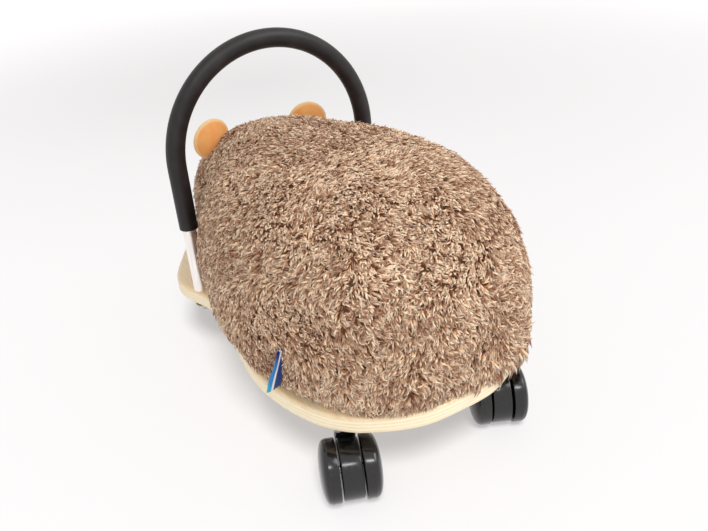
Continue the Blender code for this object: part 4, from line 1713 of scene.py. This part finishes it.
@dataclass
class Face:
    """The muzzle with its nose and sewn mouth, and the two bead eyes."""

    body: Piece

    voxel: float = 0.0022
    most_swell: float = 0.0026
    start_share: float = 0.95       # size before it is stuffed
    muzzle_half: float = 0.044      # half of its depth
    seam_half: float = 0.0010
    seam_band: float = 0.0022
    seam_top: float = 0.008         # over its middle
    root_start: float = 0.004       # behind its middle
    root_band: float = 0.006
    crease_depth: float = 0.0016
    crease_half: float = 0.005
    crease_heights: tuple[float, ...] = (-0.03, -0.005, 0.008)
    crease_shares: tuple[float, ...] = (1.0, 1.0, 0.0)

    nose_half: float = 0.008        # half of its depth
    nose_heights: tuple[float, ...] = (-1.0, 0.4, 1.0)
    nose_widths: tuple[float, ...] = (0.62, 1.0, 1.0)
    nostril: Place = (0.42, -0.85, -0.12)
    nostril_size: Place = (0.20, 0.6, 0.15)
    nostril_depth: float = 0.16

    eye_radius: float = 0.0070
    eye_height: float = 0.0052
    eye_out: float = 0.0026
    flange_top: float = -0.15
    flange_size: Place = (1.12, 1.12, 0.5)

    thread: float = 0.0008
    thread_out: float = 0.4         # share of its radius that its middle lies out
    thread_start: float = 0.02      # how far ahead of the nose the way to the muzzle starts
    stitch_start: float = 0.002
    stitch_drop: float = 0.010
    stitch_steps: int = 8
    mouth_half: float = 0.017
    mouth_sag: float = 0.0058
    mouth_arcs: Pair = (math.radians(90), math.radians(150))    # turned across and down
    mouth_steps: int = 14

    def muzzle(self) -> Piece:
        """Make the stuffed muzzle, drawn in along its middle seam.

        Returns:
            The muzzle.
        """
        low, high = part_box("muzzle")
        half = Vector((high.x, self.muzzle_half, (high.z - low.z) / 2))
        centre = Vector((0, low.y + half.y, (low.z + high.z) / 2))
        Bench.clear()
        bpy.ops.mesh.primitive_uv_sphere_add(segments=48, ring_count=24, radius=1.0,
                                             location=centre, scale=half * self.start_share)
        muzzle = Bench.named("velour_muzzle")
        bpy.ops.object.transform_apply(location=True, scale=True)
        Stuffing.swell(muzzle, self.voxel, self.most_swell,
                       lambda places: self.sewn(places - np.array(centre)))
        places = read_points(muzzle)
        crease = self.crease(places - np.array(centre))
        write_points(muzzle, places - read_normals(muzzle) * crease[:, None])
        Bench.modify(muzzle, "SUBSURF", levels=1, render_levels=1)
        Bench.settle(muzzle, 180)
        finish = VelourFinish("cream_velour", tint(248, 220, 178), tint(236, 202, 156),
                              tint(253, 236, 206)).make()
        Bench.hand_over(muzzle, BODY, "cream_velour", finish, ["muzzle"])
        return muzzle

    def sewn(self, places: Rows) -> Rows:
        """Return how firmly each point is held, at the seam and where it meets the head.

        Args:
            places: Places about the muzzle's middle.

        Returns:
            Shares from 0 to 1.
        """
        seam = np.clip(1 - (np.abs(places[:, 0]) - self.seam_half) / self.seam_band, 0, 1)
        seam = seam * (places[:, 2] < self.seam_top)
        root = np.clip((places[:, 1] - self.root_start) / self.root_band, 0, 1)
        return np.maximum(seam, root)

    def crease(self, places: Rows) -> Rows:
        """Work out how deep the thread draws the muzzle in.

        Args:
            places: Places about the muzzle's middle.

        Returns:
            A depth in metres for each place.
        """
        near = np.clip(1 - np.abs(places[:, 0]) / self.crease_half, 0, 1) ** 2
        share = np.interp(places[:, 2], self.crease_heights, self.crease_shares)
        return self.crease_depth * near * share * (places[:, 1] < 0)

    def nose(self) -> Piece:
        """Make the moulded nose: a rounded triangle with two nostrils.

        Returns:
            The nose.
        """
        low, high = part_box("nose")
        half = (high - low) / 2
        Bench.clear()
        bpy.ops.mesh.primitive_uv_sphere_add(segments=48, ring_count=24, radius=1.0)
        nose = Bench.named("bead_nose")
        places = read_points(nose)
        places[:, 0] *= np.interp(places[:, 2], self.nose_heights, self.nose_widths)
        for sign in (1, -1):
            nostril = np.array(self.nostril) * (sign, 1, 1)
            far = np.linalg.norm((places - nostril) / self.nostril_size, axis=1)
            places[:, 1] += self.nostril_depth * np.exp(-far ** 2)
        write_points(nose, places * np.array((half.x, self.nose_half, half.z))
                     + (0, low.y + self.nose_half, low.z + half.z))
        Bench.modify(nose, "SUBSURF", levels=1, render_levels=1)
        Bench.settle(nose, 180)
        return Bench.hand_over(nose, BODY, "gloss_black", self.bead, ["nose"])

    def eye(self, label: str) -> Piece:
        """Make an eye: a bead with a flange that is drawn into the pile.

        Args:
            label: Its side.

        Returns:
            The eye.
        """
        _, place, normal, _ = self.body.closest_point_on_mesh(middle_of(f"eye_{label}"))
        Bench.clear()
        bpy.ops.mesh.primitive_uv_sphere_add(segments=40, ring_count=20, radius=1.0)
        eye = Bench.named(f"bead_eye_{label}")
        Bench.pick(eye, "FACE", lambda middle, _: middle.z < self.flange_top)
        bpy.ops.transform.resize(value=self.flange_size, center_override=(0, 0, 0))
        bpy.ops.object.mode_set(mode="OBJECT")
        turn = normal.to_track_quat("Z", "Y").to_matrix().to_4x4()
        size = Matrix.Diagonal((self.eye_radius, self.eye_radius, self.eye_height, 1))
        eye.matrix_world = Matrix.Translation(place + normal * self.eye_out) @ turn @ size
        Bench.settle(eye, 180)
        return Bench.hand_over(eye, BODY, "gloss_black", self.bead, [f"eye_{label}"])

    def mouth_lines(self) -> list[list[Pair]]:
        """Draw the mouth from the front: a stitch down from the nose, and a curve to either side.

        Returns:
            Lines of places across and up.
        """
        low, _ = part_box("nose")
        top, foot = low.z + self.stitch_start, low.z - self.stitch_drop
        lines = [[(0.0, float(height)) for height in np.linspace(top, foot,
                                                                 self.stitch_steps + 1)]]
        shares = np.linspace(0, 1, self.mouth_steps + 1)
        across, down = (np.sin(arc * shares) for arc in self.mouth_arcs)
        for sign in (1, -1):
            lines.append([(float(x), float(z)) for x, z in zip(
                sign * self.mouth_half * across, foot - self.mouth_sag * down)])
        return lines

    def mouth(self, muzzle: Piece) -> Piece:
        """Sew the mouth.

        Args:
            muzzle: The muzzle, which the thread lies on.

        Returns:
            The thread.
        """
        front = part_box("nose")[0].y
        curve = bpy.data.curves.new("mouth_thread", "CURVE")
        curve.dimensions = "3D"
        curve.bevel_depth = self.thread
        curve.bevel_resolution = 3
        curve.use_fill_caps = True
        for line in self.mouth_lines():
            spline = curve.splines.new("POLY")
            spline.points.add(len(line) - 1)
            for point, (x, z) in zip(spline.points, line):
                _, place, normal, _ = muzzle.ray_cast((x, front - self.thread_start, z), (0, 1, 0))
                point.co = (*(place + normal * self.thread * self.thread_out), 1)
        thread = bpy.data.objects.new("mouth_thread", curve)
        bpy.context.scene.collection.objects.link(thread)
        Bench.take(thread)
        bpy.ops.object.convert(target="MESH")
        Bench.settle(thread, 60)
        return Bench.hand_over(thread, BODY, "brown_fur", ThreadFinish().make())

    def dress(self) -> list[Piece]:
        """Build the whole face.

        Returns:
            Its pieces.
        """
        self.bead = GlassFinish().make()
        muzzle = self.muzzle()
        return [muzzle, self.nose(), self.eye("left"), self.eye("right"), self.mouth(muzzle)]


@dataclass
class RibbonTab:
    """The folded ribbon that is sewn into the side seam."""

    body: Piece
    length: float = 0.046
    out: float = 0.0072
    root: float = 0.006
    rise: float = 0.0045
    behind: float = 0.003
    seat: float = 0.0035            # how far its seam stands off the stuffed body
    gap: float = 0.0011
    thickness: float = 0.00045
    tilt: float = math.radians(21)
    ripple: float = 0.0010
    ripple_turn: float = 7.0        # radians along its length
    corner_curl: float = 0.0012
    along_steps: int = 28
    across_steps: int = 26

    def fold(self, across: Rows) -> tuple[Rows, Rows]:
        """Fold the strip over its middle.

        Args:
            across: How far across the flat strip each point lies, from -0.5 to 0.5.

        Returns:
            How far out each point lies, and how far to the side.
        """
        bend = self.gap / 2
        flat = self.out + self.root - bend
        whole = 2 * flat + math.pi * bend
        walk = (across + 0.5) * whole
        angle = np.clip((walk - flat) / bend, 0, math.pi)
        before, after = walk < flat, walk > flat + math.pi * bend
        out = np.where(before, walk, np.where(after, whole - walk, flat + bend * np.sin(angle)))
        return out, -bend * np.cos(angle)

    def build(self) -> Piece:
        """Fold the ribbon, curl its free corners a little and give it its thickness.

        Returns:
            The ribbon.
        """
        Bench.clear()
        bpy.ops.mesh.primitive_grid_add(x_subdivisions=self.along_steps,
                                        y_subdivisions=self.across_steps, size=1.0)
        ribbon = Bench.named("ribbon_tab")
        ribbon.data.uv_layers[0].name = "ribbon"
        places = read_points(ribbon)
        along = places[:, 0]
        out, side = self.fold(places[:, 1])
        free = np.clip((out - self.root) / self.out, 0, 1) ** 2
        side = side + free * (self.ripple * np.sin(along * self.ripple_turn)
                              + self.corner_curl * (along * 2) ** 3)
        write_points(ribbon, np.column_stack([out - self.root, side, along * self.length]))
        Bench.modify(ribbon, "SOLIDIFY", thickness=self.thickness, offset=0)
        return ribbon

    def dress(self) -> Piece:
        """Build the ribbon, set it at the side and tie it to the frame.

        Returns:
            The ribbon.
        """
        middle = middle_of("label_tab") + Vector((0, self.behind, self.rise))
        _, place, normal, _ = self.body.closest_point_on_mesh(middle)
        anchor = Vector((place.x + normal.x * self.seat, place.y + normal.y * self.seat,
                         middle.z))
        ribbon = self.build()
        ribbon.matrix_world = (Matrix.Translation(anchor)
                               @ Matrix.Rotation(math.atan2(normal.y, normal.x), 4, "Z")
                               @ Matrix.Rotation(-self.tilt, 4, "X"))
        Bench.settle(ribbon, 60)
        Bench.hand_over(ribbon, BODY, "blue_ribbon", RibbonFinish().make(), ["label_tab"])
        return ribbon


@dataclass
class Casters:
    """The four twin-wheel casters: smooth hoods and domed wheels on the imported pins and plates."""

    corners: tuple[str, ...] = ("rear_left", "rear_right", "front_left", "front_right")
    sides: int = 96
    trail: float = 0.022

    wheel_radius: float = 0.0247
    wheel_width: float = 0.0145
    wheel_gap: float = 0.0015
    rim_round: float = 0.0009
    rim_share: float = 0.3          # where its rounding has a corner in between
    tread_share: float = 0.52
    cap_step: float = 0.0003
    cap_rings: int = 15
    dome_power: float = 2.35
    dome_top: float = 0.8           # share of the last rise that the flat middle takes
    bore: float = 0.0036
    seat: float = 0.010

    hood_width: float = 0.016
    hood_radius: float = 0.0236
    hood_round: float = 0.0012
    neck_radius: float = 0.0085
    neck_round: float = 0.0008
    pin_play: float = 0.0003
    axle_bore: float = 0.0031
    bore_depth: float = 0.03

    def profile(self) -> list[Pair]:
        """Draw a wheel's profile from its inner face round the tread to the middle of its dome.

        Returns:
            The radius and the height of each ring.
        """
        tread = self.wheel_width * self.tread_share
        cap = self.wheel_radius - self.cap_step
        dome = self.wheel_width - tread
        rings = [(self.wheel_radius - self.rim_round * self.rim_share,
                  self.rim_round * self.rim_share),
                 (self.wheel_radius, self.rim_round),
                 (self.wheel_radius, tread), (cap, tread + self.cap_step)]
        for number in range(1, self.cap_rings):
            angle = math.pi / 2 * number / self.cap_rings
            rings.append((cap * math.cos(angle) ** (2 / self.dome_power),
                          tread + dome * math.sin(angle) ** (2 / self.dome_power)))
        return rings

    def wheel(self) -> Piece:
        """Model one wheel, with its inner face at Z = 0 and its dome along +Z.

        Returns:
            The wheel.
        """
        radius, height = self.wheel_radius - self.rim_round, 0.0
        Bench.clear()
        bpy.ops.mesh.primitive_circle_add(vertices=self.sides, radius=radius, fill_type="NGON")
        wheel = Bench.named("one_wheel")
        bpy.ops.object.mode_set(mode="EDIT")
        bpy.ops.mesh.select_all(action="SELECT")
        for next_radius, next_height in self.profile():
            Bench.grow((0, 0, next_height - height), next_radius / radius)
            radius, height = next_radius, next_height
        bpy.ops.mesh.inset(thickness=radius * 0.5)
        rise = (self.wheel_width - height) * self.dome_top
        bpy.ops.transform.translate(value=(0, 0, rise))
        Bench.pick(wheel, "FACE",
                   lambda middle, normal: middle.z < WELD and abs(normal.z) > 0.9)
        bpy.ops.mesh.inset(thickness=self.wheel_radius - self.rim_round - self.bore)
        bpy.ops.mesh.extrude_region_move(TRANSFORM_OT_translate={"value": (0, 0, self.seat)})
        Bench.close()
        return wheel

    @staticmethod
    def cylinder(name: str, sides: int, radius: float, depth: float, place: Place,
                 lying: bool = False) -> Piece:
        """Add a cylinder about a middle, upright or lying across.

        Args:
            name: Its name.
            sides: Number of its sides.
            radius: Its radius.
            depth: Its length.
            place: Its middle.
            lying: Whether it lies along X.

        Returns:
            The cylinder.
        """
        Bench.clear()
        bpy.ops.mesh.primitive_cylinder_add(vertices=sides, radius=radius, depth=depth,
                                            location=place,
                                            rotation=(0, math.pi / 2 if lying else 0, 0))
        return Bench.named(name)

    def hood(self) -> Piece:
        """Model one hood about its kingpin, with the wheels' axle behind it along +Y.

        Returns:
            The hood.
        """
        _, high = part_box("caster_rear_left_hood")
        pin_low, pin_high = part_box("caster_rear_left_kingpin")
        axle = middle_of("caster_rear_left_axle").z
        rise = high.z - axle
        hood = self.cylinder("one_hood", self.sides, self.hood_radius, self.hood_width,
                             (0, self.trail, axle), lying=True)
        bpy.ops.object.transform_apply(location=True, rotation=True)
        Bench.bevel_rims(hood, lambda a, b: abs(a.x - b.x) < WELD, self.hood_round, 4)
        neck = self.cylinder("hood_neck", 48, self.neck_radius, rise, (0, 0, axle + rise / 2))
        Bench.bevel_rims(neck, lambda a, b: min(a.z, b.z) > rise / 2 - WELD, self.neck_round, 3)
        Bench.settle(neck)
        Bench.modify(hood, "BOOLEAN", operation="UNION", solver="EXACT", object=neck)
        pin_radius = (pin_high.x - pin_low.x) / 2 + self.pin_play
        pin_middle = pin_low.z - self.pin_play + self.bore_depth / 2
        bores = [self.cylinder("pin_bore", 40, pin_radius, self.bore_depth, (0, 0, pin_middle)),
                 self.cylinder("axle_bore", 40, self.axle_bore, self.bore_depth,
                               (0, self.trail, axle), lying=True)]
        for bore in bores:
            Bench.modify(hood, "BOOLEAN", operation="DIFFERENCE", solver="EXACT", object=bore)
        for tool in (neck, *bores):
            bpy.data.objects.remove(tool, do_unlink=True)
        return hood

    def dress(self) -> list[Piece]:
        """Build all four casters and tie their pieces to the frame.

        Returns:
            The hoods and the wheels.
        """
        nylon = GlossPlasticFinish().make()
        hood_model, wheel_model = self.hood(), self.wheel()
        pieces = []
        for corner in self.corners:
            stem = middle_of(f"caster_{corner}_kingpin")
            axle = middle_of(f"caster_{corner}_axle")
            heading = math.atan2(axle.x - stem.x, axle.y - stem.y)
            swivel = Matrix.Translation((stem.x, stem.y, 0)) @ Matrix.Rotation(-heading, 4, "Z")
            hood = Bench.copy(hood_model, f"hood_{corner}")
            hood.matrix_world = swivel
            Bench.settle(hood, 40)
            pieces.append(Bench.hand_over(hood, f"{corner}_hood", "black_plastic", nylon,
                                          [f"caster_{corner}_hood"]))
            for label, sign in (("left", 1), ("right", -1)):
                wheel = Bench.copy(wheel_model, f"wheel_{corner}_{label}")
                inner = sign * (self.hood_width / 2 + self.wheel_gap)
                wheel.matrix_world = (swivel @ Matrix.Translation((inner, self.trail, axle.z))
                                      @ Matrix.Rotation(sign * math.pi / 2, 4, "Y"))
                Bench.settle(wheel, 40)
                pieces.append(Bench.hand_over(wheel, f"{corner}_wheel_{label}", "black_plastic",
                                              nylon, [f"caster_{corner}_wheel_{label}"]))
        for model in (hood_model, wheel_model):
            bpy.data.objects.remove(model, do_unlink=True)
        return pieces


@dataclass
class Fittings:
    """The steel fasteners, plates and pins, which keep their packed form."""

    def dress(self) -> list[Piece]:
        """Give each of them its plating.

        Returns:
            The dressed nodes.
        """
        plating = MetalFinish("zinc_plating", tint(206, 205, 200), tint(168, 167, 160), 0.26,
                              spot=0.0022).make()
        dressed = []
        for name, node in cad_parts.items():
            if name.startswith(("handle_insert", "handle_bolt", "handle_washer")) or name.endswith(
                    ("_plate", "_kingpin", "_axle")) or "_screw_" in name:
                for index in range(len(node.material_slots)):
                    node.material_slots[index].material = plating
                LOG.info("%s: packed form, zinc plated", name)
                dressed.append(node)
        return dressed


@dataclass
class Studio:
    """The camera, the pale floor and the soft light."""

    lens: float = 35.93
    place: Place = (0.270786, 0.547558, 0.414253)
    right: Place = (-0.84773, 0.52593, -0.06893)
    up: Place = (-0.30022, -0.36861, 0.87977)
    back: Place = (0.43729, 0.76650, 0.47038)
    floor_side: float = 12.0
    world_light: float = 0.60
    key_power: float = 18.0
    fill_power: float = 15.0
    glint_power: float = 8.0
    shadow_power: float = 4.25      # watts on a square metre, on the floor alone
    shadow_place: Place = (0.20, 0.50, 0.96)
    shadow_spread: float = 20.0     # degrees across, which blurs the shadow's edge
    aim: Place = (0.0, 0.0, 0.12)
    key_place: Place = (-0.9, 0.9, 1.6)
    key_size: Pair = (1.2, 1.2)
    fill_place: Place = (0.8, 1.7, 0.9)
    fill_size: Pair = (1.4, 1.4)
    glint_place: Place = (0.64, 1.15, 1.70)
    glint_size: Pair = (0.9, 0.22)
    world_tint: Colour = (1.0, 0.99, 0.98)
    seen_tint: Colour = (1.0, 0.99, 0.99)   # what the camera, glossy things and glass show of it

    def camera(self) -> None:
        """Set the camera where the object was seen from."""
        data = bpy.data.cameras.new("camera")
        data.lens = self.lens
        data.sensor_width = 36.0
        data.clip_end = 50.0
        camera = bpy.data.objects.new("camera", data)
        bpy.context.scene.collection.objects.link(camera)
        turn = Matrix((self.right, self.up, self.back)).transposed().to_4x4()
        camera.matrix_world = Matrix.Translation(self.place) @ turn
        bpy.context.scene.camera = camera

    def floor(self) -> Piece:
        """Lay the floor.

        Returns:
            The floor.
        """
        Bench.clear()
        bpy.ops.mesh.primitive_grid_add(x_subdivisions=24, y_subdivisions=24, size=self.floor_side)
        floor = Bench.named("floor")
        floor.data.materials.append(SweepFinish().make())
        return floor

    def lamp(self, name: str, kind: str, place: Place, power: float) -> Piece:
        """Hang a lamp that faces the toy.

        Args:
            name: Name of the lamp.
            kind: Its type.
            place: Its place.
            power: Its power in watts, or for a sun in watts on a square metre.

        Returns:
            The lamp.
        """
        data = bpy.data.lights.new(name, kind)
        data.energy = power
        lamp = bpy.data.objects.new(name, data)
        bpy.context.scene.collection.objects.link(lamp)
        toward = Vector(self.aim) - Vector(place)
        lamp.matrix_world = (Matrix.Translation(place)
                             @ toward.to_track_quat("-Z", "Y").to_matrix().to_4x4())
        return lamp

    def panel(self, name: str, place: Place, power: float, size: Pair) -> Piece:
        """Hang a soft lamp with a broad face.

        Args:
            name: Name of the lamp.
            place: Its place.
            power: Its power in watts.
            size: Its width and height in metres.

        Returns:
            The lamp.
        """
        lamp = self.lamp(name, "AREA", place, power)
        lamp.data.shape = "RECTANGLE"
        lamp.data.size, lamp.data.size_y = size
        return lamp

    def lamps(self, floor: Piece) -> None:
        """Hang the lamps. One lights the floor alone, for the shadow, and the broad ones spare it.

        Args:
            floor: The floor.
        """
        shadow = self.lamp("shadow_light", "SUN", self.shadow_place, self.shadow_power)
        shadow.data.angle = math.radians(self.shadow_spread)
        key = self.panel("key_light", self.key_place, self.key_power, self.key_size)
        fill = self.panel("fill_light", self.fill_place, self.fill_power, self.fill_size)
        fill.visible_glossy = False
        glint = self.panel("glint_strip", self.glint_place, self.glint_power, self.glint_size)
        glint.visible_diffuse = False
        for name, state, linked in (("lit_by_shadow_light", "INCLUDE", (shadow,)),
                                    ("spared_by_lamps", "EXCLUDE", (key, fill))):
            receivers = bpy.data.collections.new(name)
            receivers.objects.link(floor)
            receivers.collection_objects[0].light_linking.link_state = state
            for lamp in linked:
                lamp.light_linking.receiver_collection = receivers

    def world(self) -> None:
        """Set the even light all round, and the brighter white that is seen or mirrored."""
        world = bpy.data.worlds.new("white_room")
        bpy.context.scene.world = world
        world.use_nodes = True
        nodes, links = world.node_tree.nodes, world.node_tree.links
        even = nodes["Background"]
        even.inputs["Color"].default_value = (*self.world_tint, 1.0)
        even.inputs["Strength"].default_value = self.world_light
        seen = nodes.new("ShaderNodeBackground")
        seen.inputs["Color"].default_value = (*self.seen_tint, 1.0)
        rays = nodes.new("ShaderNodeLightPath")
        share = rays.outputs["Is Camera Ray"]
        for ray in ("Is Glossy Ray", "Is Transmission Ray"):
            most = nodes.new("ShaderNodeMath")
            most.operation = "MAXIMUM"
            links.new(share, most.inputs[0])
            links.new(rays.outputs[ray], most.inputs[1])
            share = most.outputs[0]
        blend = nodes.new("ShaderNodeMixShader")
        for number, output in enumerate((share, even.outputs[0], seen.outputs[0])):
            links.new(output, blend.inputs[number])
        links.new(blend.outputs[0], nodes["World Output"].inputs["Surface"])

    def set_up(self) -> None:
        """Set the whole studio up."""
        self.camera()
        self.lamps(self.floor())
        self.world()
        bpy.context.scene.view_settings.view_transform = "Standard"
        LOG.info("studio: camera, floor and four lamps")


def main() -> None:
    """Build every sub-assembly in order."""
    logging.basicConfig(level=logging.INFO, format="%(message)s")
    Studio().set_up()
    Board().dress()
    Handle().dress()
    body = StuffedBody().dress()
    Pile(body).dress()
    Ears().dress()
    Face(body).dress()
    RibbonTab(body).dress()
    Casters().dress()
    Fittings().dress()


if __name__ == "__main__":
    main()
